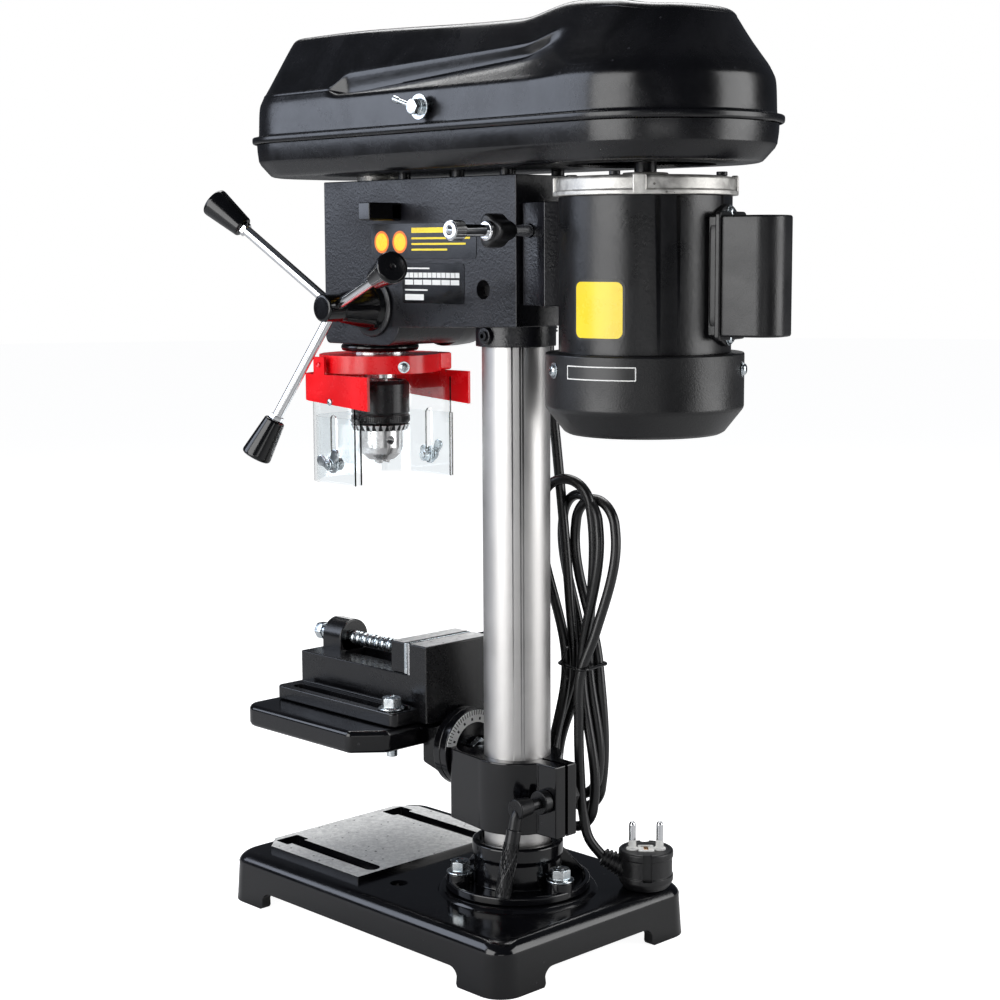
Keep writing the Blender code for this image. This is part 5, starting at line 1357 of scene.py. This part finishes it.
def walled(work, thickness, levels=0):
    """Gives an open skin its wall, inwards, after smoothing it."""
    obj = temporary(work)
    if levels:
        step = obj.modifiers.new("smooth", "SUBSURF")
        step.levels = levels
        step.render_levels = levels
    step = obj.modifiers.new("wall", "SOLIDIFY")
    step.thickness = thickness
    step.offset = -1.0
    graph = bpy.context.evaluated_depsgraph_get()
    mesh = bpy.data.meshes.new_from_object(obj.evaluated_get(graph), depsgraph=graph)
    bpy.data.objects.remove(obj, do_unlink=True)
    result = bmesh.new()
    result.from_mesh(mesh)
    return result


def make_pan():
    """Pan under the lid, with the motor's opening, hinge knuckle, screws and spacers."""
    section = [(3.4, RIM_Z), (3.5, 549.6), (3.7, 546), (4.6, 539.4), (5.0, 538.8), (6.0, 536.8),
               (11.6, 530.6), (13.2, 529.0), (15.0, 528.3), (18.0, 527.9), (26.0, 527.8)]
    walk = case_walk()
    rings = [[(x + nx * inset, y + ny * inset, z) for (x, y), (nx, ny) in walk] for inset, z in section]
    middle = [(0, y * 0.85, 527.8) for x, y, z in rings[-1]]
    shell = walled(case_skin(rings + [middle], -1), 1.8)
    hole = arc(0, MOTOR_Y, 44, 0, 180, 24) + arc(0, MOTOR_Y - 8, 44, 180, 360, 24)
    shell = carved(shell, prism(hole, 500, 534), rod((0, SPINDLE_Y, 500), (0, SPINDLE_Y, 533), 15.6, soft=0))
    height = RIM_Z - 0.4
    hinge_x = centre("lid_hinge_pin").x
    shapes = [shell, rod((hinge_x, -20, height), (hinge_x, 20, height), 3.9, steps=40),
              cuboid((hinge_x, -20, height - 4.2), (-68.6, 20, height - 2.6), 0.3, 1)]
    add("pulley_pan_piece", merged(*shapes), "case", "stand", "pulley_pan", smooth=40)
    screw = cross_screw(3.6, 2.2)
    fastened("pan_screws", screw, [((x, y, 529.6), (0, 0, 1)) for x in (-24, 24) for y in (-84, -30, 16)],
             "zinc", "stand")
    spacer = lathe([(2.6, 0), (4.4, 0), (4.4, 4.0), (2.6, 4.0)], steps=40, soft=0.3)
    fastened("pan_spacers", spacer, [((x, y, 523.9), (0, 0, 1)) for x in (-24, 24) for y in (-84, -30, 16)],
             "oxide", "stand")
    refined("lid_hinge_pin", "zinc", "stand")


LATCH_SEAT = (70.0, -15.0, 567.0)


def make_latch():
    """Hex bolt on a washer, with a short round lever, that holds the lid shut."""
    x, y, z = LATCH_SEAT
    washer = lathe([(0, 0), (8.2, 0), (8.2, 1.2), (0, 1.2)], (x + 1.0, y, z), (1, 0, 0), 64, 0.3)
    collar = rod((x + 2, y, z), (x + 4.2, y, z), 5.6, steps=48)
    head = hex_head(9.4, 4.6)
    head.transform(Matrix.Translation((x + 4.0, y, z)) @ aim_at((1, 0, 0)))
    stud = rod((60, y, z), (x + 8.8, y, z), 3.0, steps=32)
    lever = tube(curve_through([(x + 6.2, y - 3, z + 0.8), (x + 6.6, y - 8, z + 2.4),
                               (x + 6.6, y - 17, z + 5.4)], 1.0), 1.7, 20)
    tip = rod((x + 6.6, y - 13.6, z + 4.2), (x + 6.6, y - 18.5, z + 5.9), 2.2, steps=24)
    add("lid_latch_bolt_piece", merged(washer, collar, head, stud, lever, tip), "zinc", "latch",
        "lid_latch_bolt")


def make_drive():
    """Both step pulleys, the belt and the motor's rotor."""
    refined("spindle_pulley", "cast", "spindle_pulley", edge=0.2)
    refined("motor_pulley", "cast", "motor_rotor", edge=0.2)
    refined("drive_belt", "belt", "stand", edge=0.4)
    work = lathe([(0, 600), (6.4, 600), (7, 599), (7, 501), (40, 499), (40, 425), (8, 423), (8, 400),
                  (42, 398), (42, 392), (0, 390)], (0, MOTOR_Y, 0), steps=64)
    add("motor_rotor_piece", work, "oxide", "motor_rotor", "motor_rotor")


# --- switch -------------------------------------------------------------------------------------
BUTTON_SPOTS = (-55.0, -25.0)
BUTTON_Z = 478.0


def make_switch():
    """Switch box with two buttons, each in a rimmed well, and the ribbed cord gland under it."""
    low, high = span("switch_box")
    case = cuboid(low, high, 3.0, 4)
    wells = []
    for y in BUTTON_SPOTS:
        wells.append(rod((-80, y, BUTTON_Z), (-52, y, BUTTON_Z), 10.4, steps=64, soft=0))
    case = carved(case, *wells)
    rims = [lathe([(10.5, 0), (13.2, 0), (12.6, 1.6), (11.0, 2.0), (10.5, 1.4)],
                  (low.x, y, BUTTON_Z), (-1, 0, 0), 64, 0.4) for y in BUTTON_SPOTS]
    add("switch_box_piece", merged(case, *rims), "moulded", "stand", "switch_box")
    for name, finish in (("start_button", "green"), ("stop_button", "red")):
        seat = centre(name)
        seat.x = span(name)[1].x
        button = lathe([(0, 0), (10.0, 0), (10.0, 9.2), (8.6, 10), (3, 9.6), (0, 9.4)], seat,
                       (-1, 0, 0), 64, 0.8)
        add(name + "_piece", button, finish, name, name)
    screw = cross_screw(2.6, 1.8)
    fastened("switch_screws", screw, [((low.x, y, z), (-1, 0, 0)) for y in (-67, -7) for z in (446, 502)],
             "zinc", "stand")
    g = centre("cord_gland")
    gland = lathe([(3.9, 448), (4.2, 439.6), (8.4, 439.6), (8.4, 435), (6.2, 434), (4.9, 418.2), (3.9, 418)],
                  (g.x, g.y, 0), steps=48, soft=0.5)
    rib = lathe([(4.6, 0), (6.0, 0.2), (6.0, 1.3), (4.6, 1.5)], steps=40, soft=0.3)
    add("cord_gland_piece", gland, "moulded", "stand", "cord_gland")
    grown("cord_gland_ribs", ALONG, {"Count": 6, "Start": (g.x, g.y, 419.5), "Step": (0, 0, 2.4)}, "moulded",
          "stand", piece=rib)


# --- motor --------------------------------------------------------------------------------------
def make_motor():
    """Motor bracket, tube, cast bell, slotted fan cover, screws and blank plates."""
    base = (0, MOTOR_Y, 0)
    refined("motor_bracket", "textured", "stand", edge=0.8)
    low, high = span("motor_tube")
    radius = high.x
    wall = lathe([(radius, high.z), (radius, low.z), (50, low.z), (50, high.z)], base, steps=160, soft=0.4)
    add("motor_tube_piece", wall, "motor", "stand", "motor_tube")
    bell = lathe([(9, 523), (14, 523), (15, 520), (49, 520.4), (54.4, 519.6), (55.6, 518.4), (55.9, 511.6),
                  (57.5, 511.2), (57.6, 508.5), (49.4, 508.4), (49.4, 504), (47, 504), (47, 514), (9, 514)],
                 base, steps=144, soft=0.7)
    add("motor_bell_piece", bell, "cast", "stand", "motor_bell")
    block = cuboid((-3.0, -4.2, 508.6), (1.6, 4.2, 520.6), 1.2)
    grown("motor_bell_blocks", AROUND, {"Count": 4, "Start": math.radians(38), "Step": math.radians(90),
                                        "Radius": 56.0}, "cast", "stand", piece=block,
          place=Matrix.Translation(base))
    bolt = lathe([(0, 0), (3.4, 0), (3.4, 2.6), (0, 2.6)], steps=40, soft=0.5)
    seats = []
    for i in range(4):
        a = math.radians(20 + 90 * i)
        seats.append(((50 * math.cos(a), MOTOR_Y + 50 * math.sin(a), 520.0), (0, 0, 1)))
    fastened("motor_bell_bolts", bolt, seats, "oxide", "stand")
    low, high = span("motor_fan_cover")
    cover = lathe([(50.2, high.z), (high.x - 0.6, high.z), (high.x, high.z - 0.8), (high.x, 378.4),
                   (61.6, 376.6), (50.6, 362.6), (47.6, low.z), (0, low.z), (0, low.z + 2.5),
                   (46, low.z + 2.5),
                   (59.6, 378), (59.8, high.z - 3), (50.2, high.z - 3)], base, steps=160, soft=0.9)
    slots = []
    for ring, count in ((14, 6), (25, 12), (36, 18)):
        for i in range(count):
            a = 360 / count * i
            span_angle = 300 / count
            band = (arc(0, MOTOR_Y, ring + 2.2, a, a + span_angle, 5)
                    + arc(0, MOTOR_Y, ring - 2.2, a + span_angle, a, 5))
            slots.append(prism(band, low.z - 5, low.z + 6))
    cover = carved(cover, merged(*slots))
    add("motor_fan_cover_piece", cover, "moulded", "stand", "motor_fan_cover", smooth=30)
    screw = cross_screw(3.8, 2.6)
    seats = []
    for bearing in (-21, 117, 200, 290):
        a = math.radians(bearing)
        out = Vector((math.cos(a), math.sin(a), 0))
        seats.append((Vector((0, MOTOR_Y, 402)) + out * high.x, out))
    fastened("fan_cover_screws", screw, seats, "zinc", "stand")
    add("motor_plate", curved_plate(54.05, 9.5, 37, 421, 458, 0.25, 5.0), "ink", "stand")
    add("motor_plate_face", curved_plate(54.3, 9.5, 34, 422.5, 456.5, 0.1, 4.0), "yellow", "stand")
    add("fan_cover_plate", curved_plate(62.45, 15, 48, 397.5, 406, 0.2, 0.6), "white", "stand")
    add("fan_cover_plate_face", curved_plate(62.65, 15, 46.6, 398.2, 405.3, 0.1, 0.4), "ink", "stand")


CAPACITOR_BEARING = 106.0


def make_capacitor():
    """Housing with rounded outer corners on its oblong foot, behind the motor and a little to -X."""
    low, high = span("capacitor_box")
    out = Matrix.Translation((0, MOTOR_Y, 0)) @ Matrix.Rotation(math.radians(CAPACITOR_BEARING), 4, "Z")
    foot = prism(rounded(-19, 19, low.z, high.z, 18.9, 14), 51.5, 57.0, "YZ", edge=1.4, segments=3)
    outline = arc(81, 4, 14, 0, 90, 10) + [(50, 18), (50, -18)] + arc(81, -4, 14, 270, 360, 10)
    shape = prism(outline, 423, 496, edge=1.6, segments=3)
    ridge = prism(rounded(-20.5, 20.5, 420.5, 498.5, 3.0, 6), 56, 59.5, "YZ", edge=1.0)
    shapes = []
    for part in (foot, shape, ridge):
        part.transform(out)
        shapes.append(carved(part, rod((0, MOTOR_Y, 380), (0, MOTOR_Y, 530), 54.2, steps=96, soft=0)))
    add("capacitor_box_piece", merged(*shapes), "moulded", "stand", "capacitor_box", smooth=30)
    aim = out.to_3x3() @ Vector((1, 0, 0))
    seats = [(out @ Vector((57.0, 0, z)), aim) for z in (low.z + 5.5, high.z - 5.5)]
    fastened("capacitor_screws", cross_screw(4.0, 2.6), seats, "zinc", "stand")


TENSION_LOCK = (41.0, 488.0)


def make_tension_lock():
    """Cap screw and three-lobed nut that hold the motor where the belt is tight."""
    low, high = span("tension_lock_screw")
    y, z = TENSION_LOCK
    stem = rod((low.x, y, z), (90, y, z), 3.9, steps=40)
    head = lathe([(0, 0), (6.2, 0), (6.2, 9.2), (5.6, 10), (3.0, 10), (2.8, 5), (0, 5)], (high.x - 10, y, z),
                 (1, 0, 0), 64, 0.4)
    washer = lathe([(0, 0), (6.4, 0), (6.4, 2.6), (5.4, 3.4), (0, 3.4)], (64.2, y, z), (1, 0, 0), 64, 0.3)
    add("tension_lock_screw_piece", merged(stem, head, washer), "chrome", "tension_lock",
        "tension_lock_screw")
    outline = []
    for i in range(72):
        a = math.radians(5 * i)
        r = 9.8 + 1.9 * math.cos(3 * a)
        outline.append((y + r * math.cos(a), z + r * math.sin(a)))
    knob = prism(outline, 49, 64, "YZ", edge=2.4, segments=4)
    add("tension_lock_knob", knob, "moulded", "tension_lock", smooth=40)
    ridge = cuboid((-0.3, -0.35, 0.6), (0.3, 0.35, 9.0), 0.15, 1)
    place = Matrix.Translation((high.x - 10, y, z)) @ aim_at((1, 0, 0))
    grown("tension_screw_knurl", AROUND, {"Count": 40, "Step": 2 * math.pi / 40, "Radius": 6.15}, "chrome",
          "tension_lock", piece=ridge, place=place)


# --- mains cord ---------------------------------------------------------------------------------
CORD_DIAMETER = 7.0
GLAND_EXIT = Vector((-44, -12, 418))
SLEEVE_START, SLEEVE_END = Vector((-43.5, 40.0, 57.0)), Vector((-56.0, 54.0, 48.0))
TIE_Z = 190.0
PLUG_CENTRE, PLUG_RADIUS = (-64.0, 62.0), 19.0
PIN_REACH = 9.5


def fold(first, last, height, rise):
    """Half turn of the hank between two (x, y) runs; rise is 1 for a top loop, -1 for a bottom one."""
    radius = abs(last[1] - first[1]) / 2
    points = []
    for i in range(9):
        angle = math.pi * i / 8
        share = (1 - math.cos(angle)) / 2
        points.append((first[0] + (last[0] - first[0]) * share, first[1] + (last[1] - first[1]) * share,
                       height + rise * radius * math.sin(angle)))
    return points


def cord_route():
    """Control points of the cord: three loops below the tie and three above it."""
    runs = [(-47, 8.5), (-47, 23.5), (-39.8, 8.5), (-39.8, 23.5), (-54.2, 10), (-54.2, 26)]
    tied = [(x, y, TIE_Z) for x, y in runs]
    lead = [tuple(GLAND_EXIT), (-44, -11.8, 404), (-44.3, -10.5, 380), (-45.2, -6, 340), (-46.2, -0.5, 290),
            (-46.8, 5, 235)]
    tail = [(-40, 36, 215), (-33.5, 28, 185), (-33, 27, 150), (-33.3, 28, 115), (-34.3, 30, 88),
            (-37.2, 33.4, 69), tuple(SLEEVE_START)]
    return (lead + [tied[0]] + fold((-48.6, -10.5), (-48.6, 31.5), 116, -1)
            + [tied[1]] + fold((-44, 28), (-38, -14), 298, 1)
            + [tied[2]] + fold((-41.5, -8.5), (-41.5, 33.5), 94.5, -1)
            + [tied[3]] + fold((-43, 36), (-53.5, -8), 286, 1)
            + [tied[4]] + fold((-55.6, -14), (-55.6, 28), 105, -1)
            + [tied[5]] + fold((-53, 5), (-49, 46), 285, 1) + tail)


def make_cord():
    """Mains cord from the gland through its tied hank to the plug."""
    path = curve_through(cord_route(), 2.5)
    sheath = add("mains_cord", tube(path, CORD_DIAMETER / 2, 20), "cord", "stand", "cord_lead", "cord_hank",
                 "cord_tail", smooth=60)
    loop = tie_loop(path)
    tie = add("hank_tie", tube(loop, 1.1, 12, closed=True), "cord", "stand", smooth=60)
    knot_at = Vector(loop[4])
    ends = [tube(curve_through([knot_at, knot_at + Vector((3, 5, 3)),
                                knot_at + Vector((5, 12, 14 * way))], 1.0), 0.9, 10)
            for way in (1, -0.6)]
    twist = add("hank_tie_ends", merged(*ends), "cord", "stand", smooth=60)
    on_cord = [tie, twist] + make_plug()


def tie_loop(path):
    """Loop that hugs every run of the cord where the hank is tied."""
    reach = CORD_DIAMETER / 2 + 1.2
    rims = []
    for lower, upper in zip(path, path[1:]):
        if (lower.z - TIE_Z) * (upper.z - TIE_Z) <= 0 and lower.z != upper.z:
            rims += [Vector(p) for p in arc(lower.x, lower.y, reach, 0, 345, 23)]
    order = convex_hull_2d(rims)
    return [(rims[i].x, rims[i].y, TIE_Z) for i in order]


def make_plug():
    """Round two-pin plug lying face up, with a ribbed sleeve, white collars and an earth contact."""
    base = span("cord_plug")[0].z
    x, y, r = *PLUG_CENTRE, PLUG_RADIUS
    body = lathe([(0, 0), (r - 3.4, 0), (r - 1.2, 3.0), (r, 5.4), (r, 9), (r - 0.7, 9.4), (r - 0.7, 21.6),
                  (r, 22),
                  (r, 26), (r - 1.0, 27), (r - 2.6, 27), (r - 3.0, 26.2), (0, 26.2)], (x, y, base), soft=0.8)
    notch = []
    for side in (-1, 1):
        middle = Vector((x, y, 0)) + Vector((0.7071, 0.7071, 0)) * side * r
        cutter = cuboid((-3.0, -3.2, base + 8), (3.0, 3.2, base + 40))
        cutter.transform(Matrix.Translation(middle) @ Matrix.Rotation(math.radians(45), 4, "Z"))
        notch.append(cutter)
    body = carved(body, *notch)
    sleeve = rod(SLEEVE_START, SLEEVE_END + (SLEEVE_END - SLEEVE_START).normalized() * 4, 5.0, 8.4, 48, 0.6)
    case = add("plug_case", merged(body, sleeve), "moulded", "stand", "cord_plug", smooth=30)
    along = (SLEEVE_END - SLEEVE_START).normalized()
    ribs = [lathe([(5.0, 0), (6.3 + 0.42 * i, 0.2), (6.3 + 0.42 * i, 1.6), (5.0, 1.8)],
                  SLEEVE_START + along * (0.6 + 2.9 * i), along, 40, 0.3) for i in range(6)]
    rib_piece = add("plug_sleeve_ribs", merged(*ribs), "moulded", "stand")
    across = Vector((0.7071, -0.7071, 0)) * PIN_REACH
    pins, collars = [], []
    for side in (-1, 1):
        foot = Vector((x, y, base + 26)) + across * side
        pins.append(lathe([(0, 0), (2.4, 0), (2.4, 18.2), (1.5, 19.8), (0, 20)], foot, (0, 0, 1), 40, 0.8))
        collars.append(lathe([(2.4, 0), (4.4, 0), (4.2, 1.2), (2.8, 1.6), (2.6, 7.0), (2.42, 7.0)], foot,
                             (0, 0, 1), 40, 0.3))
    pin_piece = add("plug_pins", merged(*pins), "chrome", "stand")
    turn = Matrix.Translation((x, y, base + 26.2)) @ Matrix.Rotation(math.radians(-45), 4, "Z")
    plate = prism(rounded(-5.5, 5.5, -6.5, 6.5, 1.2, 4), -0.4, 0.9, edge=0.3, segments=2)
    window = prism(rounded(-3.4, 3.4, -4.4, 4.4, 0.6, 3), 0.2, 3)
    plate = carved(plate, window)
    plate.transform(turn)
    collar_piece = add("plug_collars", merged(plate, *collars), "white", "stand")
    contact = cuboid((-1.6, -3.4, -0.2), (1.6, 3.4, 0.75), 0.3, 2)
    contact.transform(turn)
    contact_piece = add("plug_earth_contact", contact, "copper", "stand")
    return [case, rib_piece, pin_piece, collar_piece, contact_piece]


# --- finish everything --------------------------------------------------------------------------
def make_press():
    for make in (make_cord, make_base, make_socket, make_column, make_bracket, make_clamp_handle, make_table,
                 make_vise, make_head, make_labels, make_quill, make_chuck, make_feed, make_guard, make_lid,
                 make_pan, make_latch, make_drive, make_switch, make_motor, make_capacitor,
                 make_tension_lock):
        make()


make_camera()
make_studio()
make_floor()
make_press()
